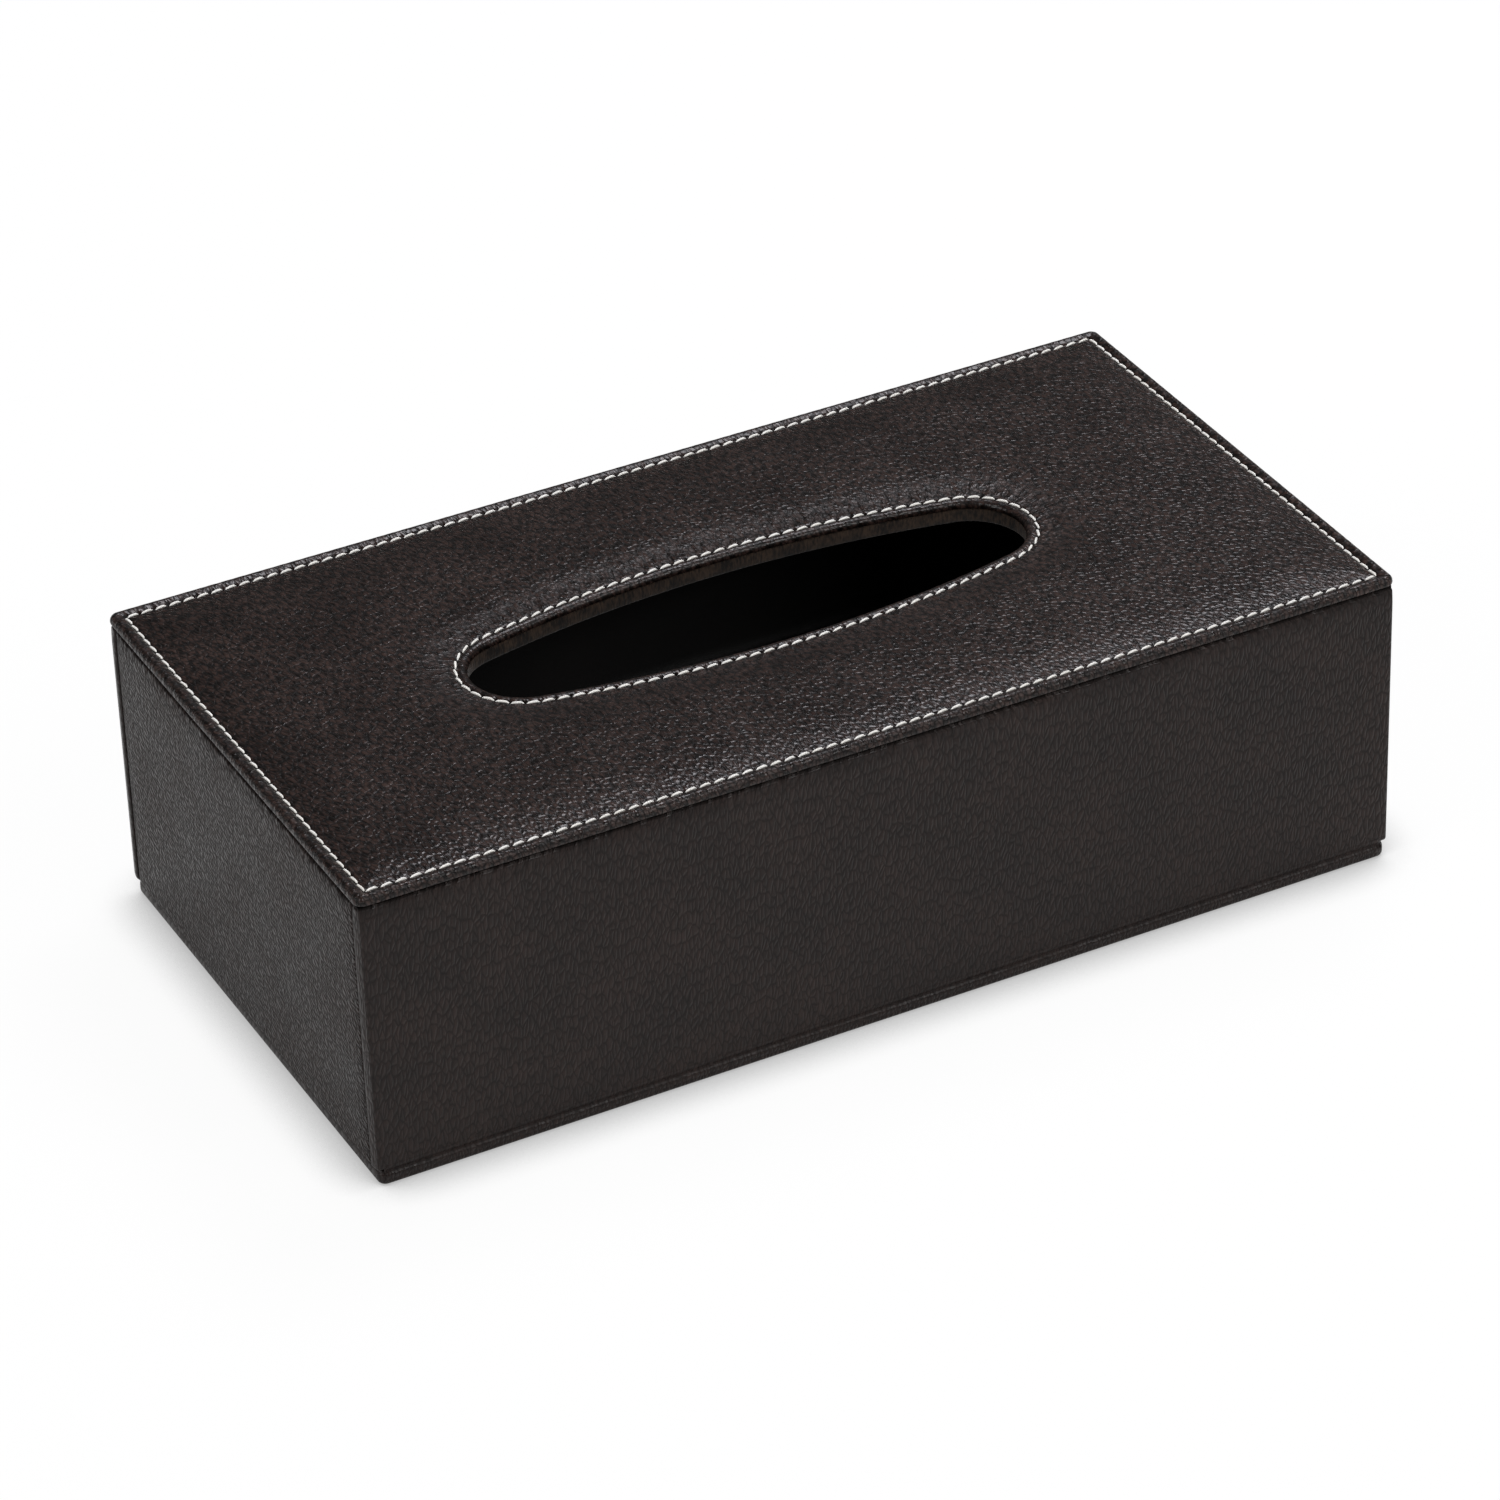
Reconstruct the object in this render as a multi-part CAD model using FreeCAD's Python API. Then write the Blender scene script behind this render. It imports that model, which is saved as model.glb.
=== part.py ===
"""Tissue box cover: a leather-covered case with a stitched, padded top and an oval opening.

The case stands on a base flap. A leather fold along the front bottom edge joins the two, and
magnets in the back wall hold the flap shut. Millimetres, +Z up, +X along the length, -Y to the
front. The origin is at the middle of the underside.
"""
import FreeCAD
import Part
import os

# Overall size of the case over its leather
case_length = 250.0
case_width = 130.0
case_height = 73.0

# Layers
leather_thickness = 0.8
board_thickness = 2.5
lining_thickness = 0.6
hem_thickness = 0.6
glue_gap = 0.05

# Walls
wall_corner_round = 1.4
wall_edge_round = 1.0
wall_hem_height = 12.0
turnover_width = 10.0
turnover_thickness = 0.5

# Padded top panel
pad_thickness = 1.2
panel_hem_thickness = 0.4
panel_hem_width = 9.0
panel_corner_round = 2.0
panel_edge_round = 1.2
panel_foot_round = 0.5

# Oval opening, measured on its line of stitches
seam_half_length = 70.0
seam_half_width = 21.4
seam_end_radius = 15.2
lip_inset = 2.6
lip_round = 1.3
opening_lining_setback = 0.4
opening_turnover_width = 8.0

# Stitching
edge_seam_inset = 3.2
stitch_pitch = 3.35
stitch_length = 2.7
stitch_taper = 0.5
stitch_slant_degrees = 6.0
thread_width = 0.6
thread_height = 0.5
thread_clearance = 0.05
channel_width = 1.2
channel_depth = 0.35

# Base flap
base_board_thickness = 2.2
base_inset = 0.8
base_corner_round = 2.0
base_edge_round = 1.2
base_hem_width = 12.0
base_gap = 0.4

# Leather hinge fold
fold_radius = 0.65
fold_clearance = 0.1
fold_end_inset = 2.0

# Closure: magnets in the back wall, steel keepers in the base
magnet_length = 14.0
magnet_thickness = 1.8
magnet_height = 5.0
magnet_spacing = 160.0
magnet_clearance = 0.1
keeper_length = 18.0
keeper_width = 6.0
keeper_thickness = 0.8
keeper_margin = 1.0

# How far a cut runs past the face that it opens
overrun = 5.0
# Two places closer than this are the same place
same_place = 1e-4

# Levels, from the table up
base_thickness = leather_thickness + base_board_thickness + hem_thickness
base_board_top = leather_thickness + base_board_thickness
wall_foot = base_thickness + base_gap
board_foot = wall_foot + leather_thickness
wall_hem_top = wall_foot + wall_hem_height
panel_thickness = leather_thickness + pad_thickness + panel_hem_thickness
panel_foot = case_height - panel_thickness
pad_foot = panel_foot + panel_hem_thickness
top_board_top = panel_foot - turnover_thickness
top_board_foot = top_board_top - board_thickness
ceiling = top_board_foot - lining_thickness

# Half sizes of the case, from the outer leather inwards
half_length = case_length / 2
half_width = case_width / 2
board_x = half_length - leather_thickness
board_y = half_width - leather_thickness
inner_x = board_x - board_thickness
inner_y = board_y - board_thickness

# Plan of the base flap, level with the front wall and set in at the other three sides
base_end = half_length - base_inset
base_front = -half_width
base_back = half_width - base_inset

# Hinge axis, parallel to X
hinge_y = base_front + fold_radius
hinge_z = base_thickness + base_gap / 2

up = FreeCAD.Vector(0, 0, 1)
along = FreeCAD.Vector(1, 0, 0)
origin = FreeCAD.Vector(0, 0, 0)


def block(x_low, x_high, y_low, y_high, z_low, z_high):
    """A block between six planes."""
    corner = FreeCAD.Vector(x_low, y_low, z_low)
    return Part.makeBox(x_high - x_low, y_high - y_low, z_high - z_low, corner)


def centred_block(half_x, half_y, z_low, z_high):
    """A block centred on the vertical axis."""
    return block(-half_x, half_x, -half_y, half_y, z_low, z_high)


def upright_edges(shape):
    """The straight vertical edges of a block."""
    def is_upright(edge):
        first, last = edge.Vertexes[0].Point, edge.Vertexes[-1].Point
        return abs(first.x - last.x) < same_place and abs(first.y - last.y) < same_place
    return [edge for edge in shape.Edges if is_upright(edge)]


def level_edges(shape, height):
    """The edges that lie at one height."""
    def is_level(edge):
        heights = [vertex.Point.z for vertex in edge.Vertexes] + [edge.CenterOfMass.z]
        return all(abs(z - height) < same_place for z in heights)
    return [edge for edge in shape.Edges if is_level(edge)]


def rounded(shape, corner_round, top_round, foot_round):
    """A block with its corners, then its top and bottom edges, rounded."""
    box = shape.BoundBox
    shape = shape.makeFillet(corner_round, upright_edges(shape))
    shape = shape.makeFillet(top_round, level_edges(shape, box.ZMax))
    return shape.makeFillet(foot_round, level_edges(shape, box.ZMin))


def oval_wire(outset, height):
    """The opening's oval, four tangent arcs, offset outwards from the line of stitches."""
    reach_x = seam_half_length + outset
    reach_y = seam_half_width + outset
    end_radius = seam_end_radius + outset
    end_x = reach_x - end_radius
    side_radius = (end_x ** 2 + reach_y ** 2 - end_radius ** 2) / (2 * (reach_y - end_radius))
    side_y = reach_y - side_radius
    # The arcs meet on the line from the centre of a side arc through the centre of an end arc
    towards_end = FreeCAD.Vector(end_x, -side_y, 0).normalize()
    join = FreeCAD.Vector(end_x, 0, 0) + towards_end * end_radius

    def at(x, y):
        return FreeCAD.Vector(x, y, height)

    arcs = [
        Part.Arc(at(join.x, -join.y), at(reach_x, 0), at(join.x, join.y)),
        Part.Arc(at(join.x, join.y), at(0, reach_y), at(-join.x, join.y)),
        Part.Arc(at(-join.x, join.y), at(-reach_x, 0), at(-join.x, -join.y)),
        Part.Arc(at(-join.x, -join.y), at(0, -reach_y), at(join.x, -join.y)),
    ]
    return Part.Wire([arc.toShape() for arc in arcs])


def oval_plug(outset, z_low, z_high):
    """The oval as an upright solid."""
    return Part.Face(oval_wire(outset, z_low)).extrude(up * (z_high - z_low))


def oval_ring(inner_outset, outer_outset, z_low, z_high):
    """The band between two offsets of the oval."""
    hole = oval_plug(inner_outset, z_low - overrun, z_high + overrun)
    return oval_plug(outer_outset, z_low, z_high).cut(hole)


def prism(points, z_low, z_high):
    """An upright prism on a plan of corner points."""
    corners = [FreeCAD.Vector(x, y, z_low) for x, y in points]
    return Part.Face(Part.makePolygon(corners + corners[:1])).extrude(up * (z_high - z_low))


def half_turned(shape):
    """The same shape turned half round the vertical axis, for the opposite wall."""
    return shape.rotated(origin, up, 180)


def only_solid(shape):
    """The one solid that a cut leaves."""
    solids = shape.removeSplitter().Solids
    assert len(solids) == 1, "expected one solid, got %d" % len(solids)
    return solids[0]


def hinge_rod(radius, end_inset):
    """A rod on the hinge axis."""
    start = FreeCAD.Vector(-half_length + end_inset, hinge_y, hinge_z)
    return Part.makeCylinder(radius, case_length - 2 * end_inset, start, along)


def wall_plans():
    """Plans that share a ring round the case among the four walls.

    The long walls cover the ends of the short ones, and inside the boards the plans are mitred.
    """
    past_x = half_length + overrun
    past_y = half_width + overrun
    mitre_x = inner_x - turnover_width
    mitre_y = inner_y - turnover_width
    front = [
        (-past_x, -past_y), (past_x, -past_y), (past_x, -inner_y), (inner_x, -inner_y),
        (mitre_x, -mitre_y), (-mitre_x, -mitre_y), (-inner_x, -inner_y), (-past_x, -inner_y),
    ]
    left = [
        (-past_x, -inner_y), (-inner_x, -inner_y), (-mitre_x, -mitre_y),
        (-mitre_x, mitre_y), (-inner_x, inner_y), (-past_x, inner_y),
    ]
    front_prism = prism(front, -overrun, case_height + overrun)
    left_prism = prism(left, -overrun, case_height + overrun)
    return {
        "front": front_prism,
        "back": half_turned(front_prism),
        "left": left_prism,
        "right": half_turned(left_prism),
    }


def wall_boards():
    """Stiff boards: the long ones run the whole length, the short ones stand between them."""
    front = block(-board_x, board_x, -board_y, -inner_y, board_foot, top_board_foot)
    left = block(-board_x, -inner_x, -inner_y, inner_y, board_foot, top_board_foot)
    boards = {"front": front, "back": half_turned(front), "left": left, "right": half_turned(left)}
    for x in magnet_places():
        boards["back"] = boards["back"].cut(magnet_notch(x))
    return {side + "_board": only_solid(board) for side, board in boards.items()}


def wall_leathers():
    """Leather over each wall, turned in under the bottom edge and over the top board."""
    case = rounded(
        centred_block(half_length, half_width, wall_foot, panel_foot),
        wall_corner_round, wall_edge_round, wall_edge_round,
    )
    boards = centred_block(board_x, board_y, board_foot, top_board_top)
    mouth = centred_block(inner_x, inner_y, wall_foot - overrun, board_foot + overrun)
    window = centred_block(
        half_length - turnover_width, half_width - turnover_width,
        top_board_top - overrun, panel_foot + overrun,
    )
    hem = centred_block(inner_x, inner_y, wall_foot, wall_hem_top)
    hem = hem.cut(centred_block(
        inner_x - hem_thickness, inner_y - hem_thickness, wall_foot - overrun, wall_hem_top + overrun,
    ))
    skin = case.cut(boards).cut(mouth).cut(window).fuse(hem)
    skin = skin.cut(hinge_rod(fold_radius + fold_clearance, -overrun))
    return {side + "_leather": only_solid(skin.common(plan)) for side, plan in wall_plans().items()}


def wall_linings():
    """Velvet on the inner faces of the walls, from the leather hem up to the ceiling."""
    ring = centred_block(inner_x, inner_y, wall_hem_top, ceiling)
    ring = ring.cut(centred_block(
        inner_x - lining_thickness, inner_y - lining_thickness, wall_hem_top - overrun, ceiling + overrun,
    ))
    return {side + "_lining": only_solid(ring.common(plan)) for side, plan in wall_plans().items()}


# Offsets of the opening's faces from its line of stitches
lip_outset = -lip_inset
opening_lining_inner = lip_outset + opening_lining_setback
opening_lining_outer = opening_lining_inner + lining_thickness
board_hole_outset = opening_lining_outer + glue_gap


def top_board():
    """Board across the top of the walls, with the oval hole."""
    board = centred_block(board_x, board_y, top_board_foot, top_board_top)
    return only_solid(board.cut(oval_plug(board_hole_outset, top_board_foot - overrun, top_board_top + overrun)))


def top_lining():
    """Velvet under the top board, inside the walls."""
    sheet = centred_block(inner_x, inner_y, ceiling, top_board_foot)
    return only_solid(sheet.cut(oval_plug(board_hole_outset, ceiling - overrun, top_board_foot + overrun)))


def opening_lining():
    """Suede band round the edge of the hole, turned over onto the top board."""
    band = oval_ring(opening_lining_inner, opening_lining_outer, ceiling, panel_foot)
    turnover = oval_ring(
        opening_lining_inner, opening_lining_inner + opening_turnover_width, top_board_top, panel_foot,
    )
    return only_solid(band.fuse(turnover))


def pad_space(clearance):
    """The room inside the top leather, less a clearance at its sides."""
    inset = leather_thickness + clearance
    pad_top = case_height - leather_thickness
    space = centred_block(half_length - inset, half_width - inset, pad_foot, pad_top)
    return space.cut(oval_plug(lip_outset + inset, pad_foot - overrun, pad_top + overrun))


def stitch_channels():
    """Shallow channels that the two rows of stitches pull into the top leather."""
    seam_x = half_length - edge_seam_inset
    seam_y = half_width - edge_seam_inset
    side = channel_width / 2
    floor = case_height - channel_depth
    roof = case_height + overrun
    edge = centred_block(seam_x + side, seam_y + side, floor, roof)
    edge = edge.cut(centred_block(seam_x - side, seam_y - side, floor - overrun, roof + overrun))
    return edge.fuse(oval_ring(-side, side, floor, roof))


def top_leather():
    """Leather of the padded top panel, turned under at its outer edge and round the opening."""
    panel = rounded(
        centred_block(half_length, half_width, panel_foot, case_height),
        panel_corner_round, panel_edge_round, panel_foot_round,
    )
    panel = panel.cut(oval_plug(lip_outset, panel_foot - overrun, case_height + overrun))
    lip_edges = [
        edge for edge in level_edges(panel, case_height)
        if edge.BoundBox.XMax < seam_half_length and edge.BoundBox.XMin > -seam_half_length
        and edge.BoundBox.YMax < seam_half_width and edge.BoundBox.YMin > -seam_half_width
    ]
    panel = panel.makeFillet(lip_round, lip_edges)
    window = centred_block(
        half_length - panel_hem_width, half_width - panel_hem_width, panel_foot - overrun, pad_foot + same_place,
    )
    window = window.cut(oval_plug(lip_outset + panel_hem_width, panel_foot - 2 * overrun, pad_foot + overrun))
    return only_solid(panel.cut(pad_space(0)).cut(window).cut(stitch_channels()))


def stitch():
    """One stitch along X, as it shows between two needle holes: tapered where it goes down."""
    half = stitch_length / 2
    half_side = thread_width / 2
    profile = [
        (-half, 0), (half, 0), (half - stitch_taper, thread_height), (-half + stitch_taper, thread_height),
    ]
    corners = [FreeCAD.Vector(x, -half_side, z) for x, z in profile]
    face = Part.Face(Part.makePolygon(corners + corners[:1]))
    return face.extrude(FreeCAD.Vector(0, thread_width, 0))


def stitch_row(places):
    """Stitches at (point, direction) places, each slightly slanted to its seam, as one group."""
    pattern = stitch()
    rest_height = case_height - channel_depth + thread_clearance
    row = []
    for point, direction in places:
        turn = FreeCAD.Rotation(along, direction).multiply(FreeCAD.Rotation(up, stitch_slant_degrees))
        copy = pattern.copy()
        copy.Placement = FreeCAD.Placement(FreeCAD.Vector(point.x, point.y, rest_height), turn)
        row.append(copy)
    return Part.makeCompound(row)


def edge_stitching():
    """Stitches round the outer edge of the top, a whole number on each side."""
    seam_x = half_length - edge_seam_inset
    seam_y = half_width - edge_seam_inset
    corners = [
        FreeCAD.Vector(-seam_x, -seam_y, 0), FreeCAD.Vector(seam_x, -seam_y, 0),
        FreeCAD.Vector(seam_x, seam_y, 0), FreeCAD.Vector(-seam_x, seam_y, 0),
    ]
    places = []
    for start, end in zip(corners, corners[1:] + corners[:1]):
        side = end - start
        count = round(side.Length / stitch_pitch)
        direction = FreeCAD.Vector(side).normalize()
        places += [(start + side * ((index + 0.5) / count), direction) for index in range(count)]
    return stitch_row(places)


def opening_stitching():
    """Stitches round the opening, evenly spaced along its oval."""
    seam = oval_wire(0, 0)
    count = round(seam.Length / stitch_pitch)
    points = seam.discretize(Number=count + 1)[:count]
    places = []
    for index, point in enumerate(points):
        chord = points[(index + 1) % count] - points[index - 1]
        places.append((point, chord.normalize()))
    return stitch_row(places)


def base_plan_block(inset, z_low, z_high):
    """A block on the base flap's plan, set in from its edges."""
    return block(-base_end + inset, base_end - inset, base_front + inset, base_back - inset, z_low, z_high)


def base_leather():
    """Leather under the base board, round its edges and turned in over its top."""
    flap = rounded(base_plan_block(0, 0, base_thickness), base_corner_round, base_edge_round, base_edge_round)
    flap = flap.cut(base_plan_block(leather_thickness, leather_thickness, base_board_top))
    flap = flap.cut(base_plan_block(base_hem_width, base_board_top - same_place, base_thickness + overrun))
    return only_solid(flap.cut(hinge_rod(fold_radius + fold_clearance, -overrun)))


def base_board():
    """Stiff board of the base flap, with shallow seats for the keepers."""
    board = base_plan_block(leather_thickness, leather_thickness, base_board_top)
    for x in magnet_places():
        board = board.cut(keeper_plate(x, magnet_clearance, overrun))
    return only_solid(board)


def base_lining():
    """Velvet on the inner face of the base flap, inside the leather hem."""
    return base_plan_block(base_hem_width, base_board_top, base_board_top + lining_thickness)


def magnet_places():
    """Places of the magnets along the back wall."""
    return [-magnet_spacing / 2, magnet_spacing / 2]


def magnet_notch(x):
    """Notch in the foot of the back board that takes one magnet."""
    half = magnet_length / 2 + magnet_clearance
    return block(
        x - half, x + half, inner_y - overrun, board_y + overrun,
        board_foot - overrun, board_foot + magnet_height + magnet_clearance,
    )


def closure_magnets():
    """Bar magnets that stand in the notches of the back board, on the turned-in leather."""
    middle = (inner_y + board_y) / 2
    half_bar = magnet_thickness / 2
    return Part.makeCompound([
        block(
            x - magnet_length / 2, x + magnet_length / 2, middle - half_bar, middle + half_bar,
            board_foot, board_foot + magnet_height,
        )
        for x in magnet_places()
    ])


def keeper_plate(x, clearance, rise):
    """One keeper near the back edge of the base board, or with a clearance and rise its seat."""
    back = base_back - leather_thickness - keeper_margin
    half = keeper_length / 2 + clearance
    return block(
        x - half, x + half, back - keeper_width - clearance, back + clearance,
        base_board_top - keeper_thickness, base_board_top + rise,
    )


def keeper_plates():
    """Steel keepers that the magnets pull on, level with the top of the base board."""
    return Part.makeCompound([keeper_plate(x, 0, 0) for x in magnet_places()])


pieces = {
    "base_board": base_board(),
    "base_leather": base_leather(),
    "base_lining": base_lining(),
    "keeper_plates": keeper_plates(),
    "hinge_fold": hinge_rod(fold_radius, fold_end_inset),
    "top_board": top_board(),
    "top_lining": top_lining(),
    "opening_lining": opening_lining(),
    "top_pad": only_solid(pad_space(glue_gap)),
    "top_leather": top_leather(),
    "edge_stitching": edge_stitching(),
    "opening_stitching": opening_stitching(),
    "closure_magnets": closure_magnets(),
}
pieces.update(wall_boards())
pieces.update(wall_leathers())
pieces.update(wall_linings())

os.makedirs("parts", exist_ok=True)
for name, shape in pieces.items():
    shape.exportStep("parts/" + name + ".step")
    print("%-18s solids %3d valid %s volume %.1f mm3" % (name, len(shape.Solids), shape.isValid(), shape.Volume))
print("hinge axis y %.2f z %.2f, ceiling %.2f" % (hinge_y, hinge_z, ceiling))
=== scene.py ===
import math

import bmesh
import bpy
import numpy as np
from mathutils import Matrix, Vector


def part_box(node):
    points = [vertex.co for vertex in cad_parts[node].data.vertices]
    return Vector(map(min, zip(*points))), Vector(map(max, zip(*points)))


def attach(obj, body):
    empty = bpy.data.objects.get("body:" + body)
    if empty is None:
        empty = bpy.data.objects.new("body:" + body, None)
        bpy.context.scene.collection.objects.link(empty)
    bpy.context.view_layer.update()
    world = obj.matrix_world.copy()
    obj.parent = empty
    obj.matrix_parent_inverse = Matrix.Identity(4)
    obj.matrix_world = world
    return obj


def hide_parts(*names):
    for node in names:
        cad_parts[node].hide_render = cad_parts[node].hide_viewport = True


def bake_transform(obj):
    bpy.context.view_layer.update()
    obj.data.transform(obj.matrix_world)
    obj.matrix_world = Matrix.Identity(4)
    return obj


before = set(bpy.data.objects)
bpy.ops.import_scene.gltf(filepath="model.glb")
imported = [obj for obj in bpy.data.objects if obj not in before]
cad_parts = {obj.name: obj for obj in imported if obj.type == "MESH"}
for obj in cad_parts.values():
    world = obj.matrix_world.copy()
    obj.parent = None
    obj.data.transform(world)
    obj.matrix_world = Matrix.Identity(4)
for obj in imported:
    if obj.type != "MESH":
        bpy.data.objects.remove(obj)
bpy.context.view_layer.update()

# A tissue box cover: a leather case with a padded top that is sewn round its edge and its opening,
# on a base that hinges at the front. All sizes are in metres.

# Places read from the frame
panel_low, panel_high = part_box("top_leather")
half_length = panel_high.x
half_width = panel_high.y
panel_top = panel_high.z
panel_foot = panel_low.z
panel_height = panel_top - panel_foot
wall_low, wall_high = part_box("front_leather")
wall_foot = wall_low.z
wall_top = wall_high.z
board_inner_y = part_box("back_board")[0].y
pad_low, pad_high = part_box("top_pad")
ceiling_low, ceiling_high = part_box("top_lining")
base_low, base_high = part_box("base_leather")
base_lining_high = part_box("base_lining")[1]
fold_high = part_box("hinge_fold")[1]

# The opening's seam: an oval of two round ends and two long shallow arcs
seam_half_length = 0.070
seam_half_width = 0.0214
seam_end_radius = 0.0152
opening_stitches = 94
end_centre = seam_half_length - seam_end_radius
side_radius = (end_centre**2 + seam_half_width**2 - seam_end_radius**2) / (
    2 * (seam_half_width - seam_end_radius)
)
side_centre = side_radius - seam_half_width
join_angle = math.atan2(side_centre, end_centre)
end_run = seam_end_radius * join_angle
quarter_run = end_run + side_radius * (math.pi / 2 - join_angle)
oval_run = 4 * quarter_run

# The seam along the top's edge
edge_seam_inset = 0.0032
long_stitches = 73
short_stitches = 37
seam_x = half_length - edge_seam_inset
seam_y = half_width - edge_seam_inset

# The padded top's section
panel_plan_round = 0.0022
panel_top_round = 0.0015
panel_bottom_round = 0.0007
panel_hem = 0.009
lip_inset = 0.0026
lip_round = 0.00155
lip_foot_round = 0.0005
lip_hem = 0.007
least_round = 0.00015
leather_thickness = 0.0008
weld_distance = 1e-6
least_edge = 1e-7

# How the padding lifts and the seams pull the top's leather
crown_rise = 0.00035
crown_reach = 0.009
edge_dip = 0.00045
edge_dip_reach = 0.0042
margin_reach = 0.0013
oval_dip = 0.00065
oval_dip_reach = 0.0055
lip_rise = 0.00022
lip_rise_reach = 0.0012
groove_depth = 0.00022
groove_half = 0.00050
hole_depth = 0.00025
hole_half = 0.00042
pucker_height = 0.00006
pucker_reach = 0.0020
gather_height = 0.00006
gather_reach = 0.0050
gather_waves = (0.0010, 0.0024)
gather_seed = 13
gather_start = 0.0006
gather_mean = 0.6
gather_change = 0.4
gather_change_waves = (0.006, 0.020)
gather_change_seed = 11
gather_limits = (0.25, 1.2)
gather_lean = 0.10
gather_lean_waves = (0.010, 0.030)
gather_lean_seed = 12
gather_at_ends = 0.35
gather_end_fade = 0.012
swell_height = 0.00005
swell_waves = (0.018, 0.060)
swell_seed = 14
swell_start = 0.006

# Stitches
thread_radius = 0.00030
stitch_pitch = 0.00334
stitch_length = 0.00315
stitch_slant = math.radians(10)
stitch_rise = 0.00014
stitch_plunge = 0.00034
stitch_sides = 6
stitch_stations = 6
stitch_end_size = 0.52
slant_spread = 1.2
length_spread = 0.02
thickness_spread = 0.03
edge_seam_seed = 21
opening_seam_seed = 22
seam_line_steps = 400
stitch_reach = 0.4

# The suede band round the opening
band_steps = (40, 2, 80)
band_overhang = 0.0004
band_setback = lip_inset - band_overhang
band_turnover = 0.0080
band_flat = 0.0016
band_top_round = 0.0004
band_face = 0.0026
band_face_rows = 6
band_bulge = 0.00012
band_foot_round = 0.0006
band_foot_turn = 0.0018
band_skin = 0.0004

# Wall leathers
corner_round = 0.0009
wall_edge_round = 0.0010
wall_lean = 0.00025
wall_lean_height = 0.0040
wall_top_round = 0.0008
wall_top_angles = (7.0, 65.0)
slot_height = 0.0008
end_lean = 0.00035
end_lean_width = 0.0048
flap_lean = 0.00040
board_depth = 0.00076
wall_turn_in = 0.004
wall_hem_gap = 0.0006
wall_hem_face = half_width - board_inner_y + wall_hem_gap
wall_hem_round = 0.0003
wall_hem_top = 0.016
wall_skin = 0.0005
wall_seam_gap = 0.00004
flap_end = board_inner_y + wall_seam_gap
short_end = board_inner_y - wall_seam_gap
tuck_depth = 0.00035
tuck_reach = 0.00035
glue_gap = 0.00005
face_rows = 46
lean_rows = 8
crest_steps = 6
foot_steps = 5
hem_steps = 3
hem_rows = 4
hem_start = 0.002
flap_steps = 10
corner_steps = 6
long_face_steps = 200
short_face_steps = 100
short_end_width = 0.0012
short_end_steps = 6
wall_pull_reach = 0.0016
foot_pull = 0.2
# Painted shade on the walls' crest and turn-in inside the slot: how far below the slot it starts and how soon
# it is full
slot_shade_edge = 0.0001
slot_shade_fade = 0.0002

# The base and its hinge
base_corner_round = 0.0020
base_corner_steps = 6
base_edge_round = 0.0012
base_edge_steps = 5
base_well_slope = 0.0001
base_well_depth = 0.0005
base_grain_lean = 0.35
sharp_angle = 40
hinge_face_gap = 0.00003
hinge_steps = 160
hinge_skin = 0.0004
hinge_pull = 0.8
hinge_pull_height = 0.0038
hinge_pull_reach = 0.0008
hinge_fold_line = (
    (0.00020, 0.0010), (0.00004, 0.0016), (-0.00010, 0.0022), (-0.00014, 0.0026), (-0.00008, 0.00288),
    (0.00012, 0.00308), (0.00034, 0.0033), (0.00042, 0.0036), (0.00036, 0.0039), (0.00020, 0.0042),
    (0.00006, 0.0045), (0.0, 0.0049), (0.00001, 0.0053), (0.00020, 0.0058),
)

# Linings
lining_step = 0.004
lining_least_steps = 8
lining_uneven = 0.00006
lining_waves = (0.012, 0.040)
lining_seed = 31
lining_edge_sink = 0.5
lining_edge_reach = 0.0008
lining_sink = 0.00008
lining_skin = 0.45
ceiling_steps = (24, 2, 48)
ceiling_rows = 12
ceiling_gap = 0.00004
ceiling_skin = 0.0003


def all_round(quarter):
    """A closed line from its first quarter, which runs from the X axis to the Y axis."""
    over_x = np.array((-1.0, 1.0))
    over_y = np.array((1.0, -1.0))
    back = quarter[::-1]
    return np.concatenate((quarter[:-1], (back * over_x)[:-1], -quarter[:-1], (back * over_y)[:-1]))


def arc(centre, radius, start, end, steps):
    """Points along an arc in a section's own plane, both ends included, with angles in degrees."""
    turn = np.radians(np.linspace(start, end, steps + 1))
    return [(centre[0] + radius * math.cos(a), centre[1] + radius * math.sin(a)) for a in turn]


def case_line(inset, steps, plan_round=panel_plan_round, half=(half_length, half_width)):
    """A rounded rectangle set in from the case's outline; steps counts a quarter's side, bend and front."""
    side_steps, bend_steps, front_steps = steps
    turn = max(plan_round - inset, least_round)
    x_edge = half[0] - inset
    y_edge = half[1] - inset
    side = [(x_edge, (y_edge - turn) * k / side_steps) for k in range(side_steps)]
    bend = arc((x_edge - turn, y_edge - turn), turn, 0, 90, bend_steps)
    front = [((x_edge - turn) * (1 - k / front_steps), y_edge) for k in range(1, front_steps + 1)]
    return all_round(np.array(side + bend + front))


def oval_line(outset, steps):
    """The opening's oval set out from its seam, with as many points as the case line of the same steps."""
    run = np.linspace(0.0, quarter_run, sum(steps) + 1)
    on_end = run < end_run
    angle = np.where(on_end, run / seam_end_radius, join_angle + (run - end_run) / side_radius)
    radius = np.where(on_end, seam_end_radius, side_radius) + outset
    x = np.where(on_end, end_centre, 0.0) + radius * np.cos(angle)
    y = np.where(on_end, 0.0, -side_centre) + radius * np.sin(angle)
    return all_round(np.stack((x, y), axis=1))


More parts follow.
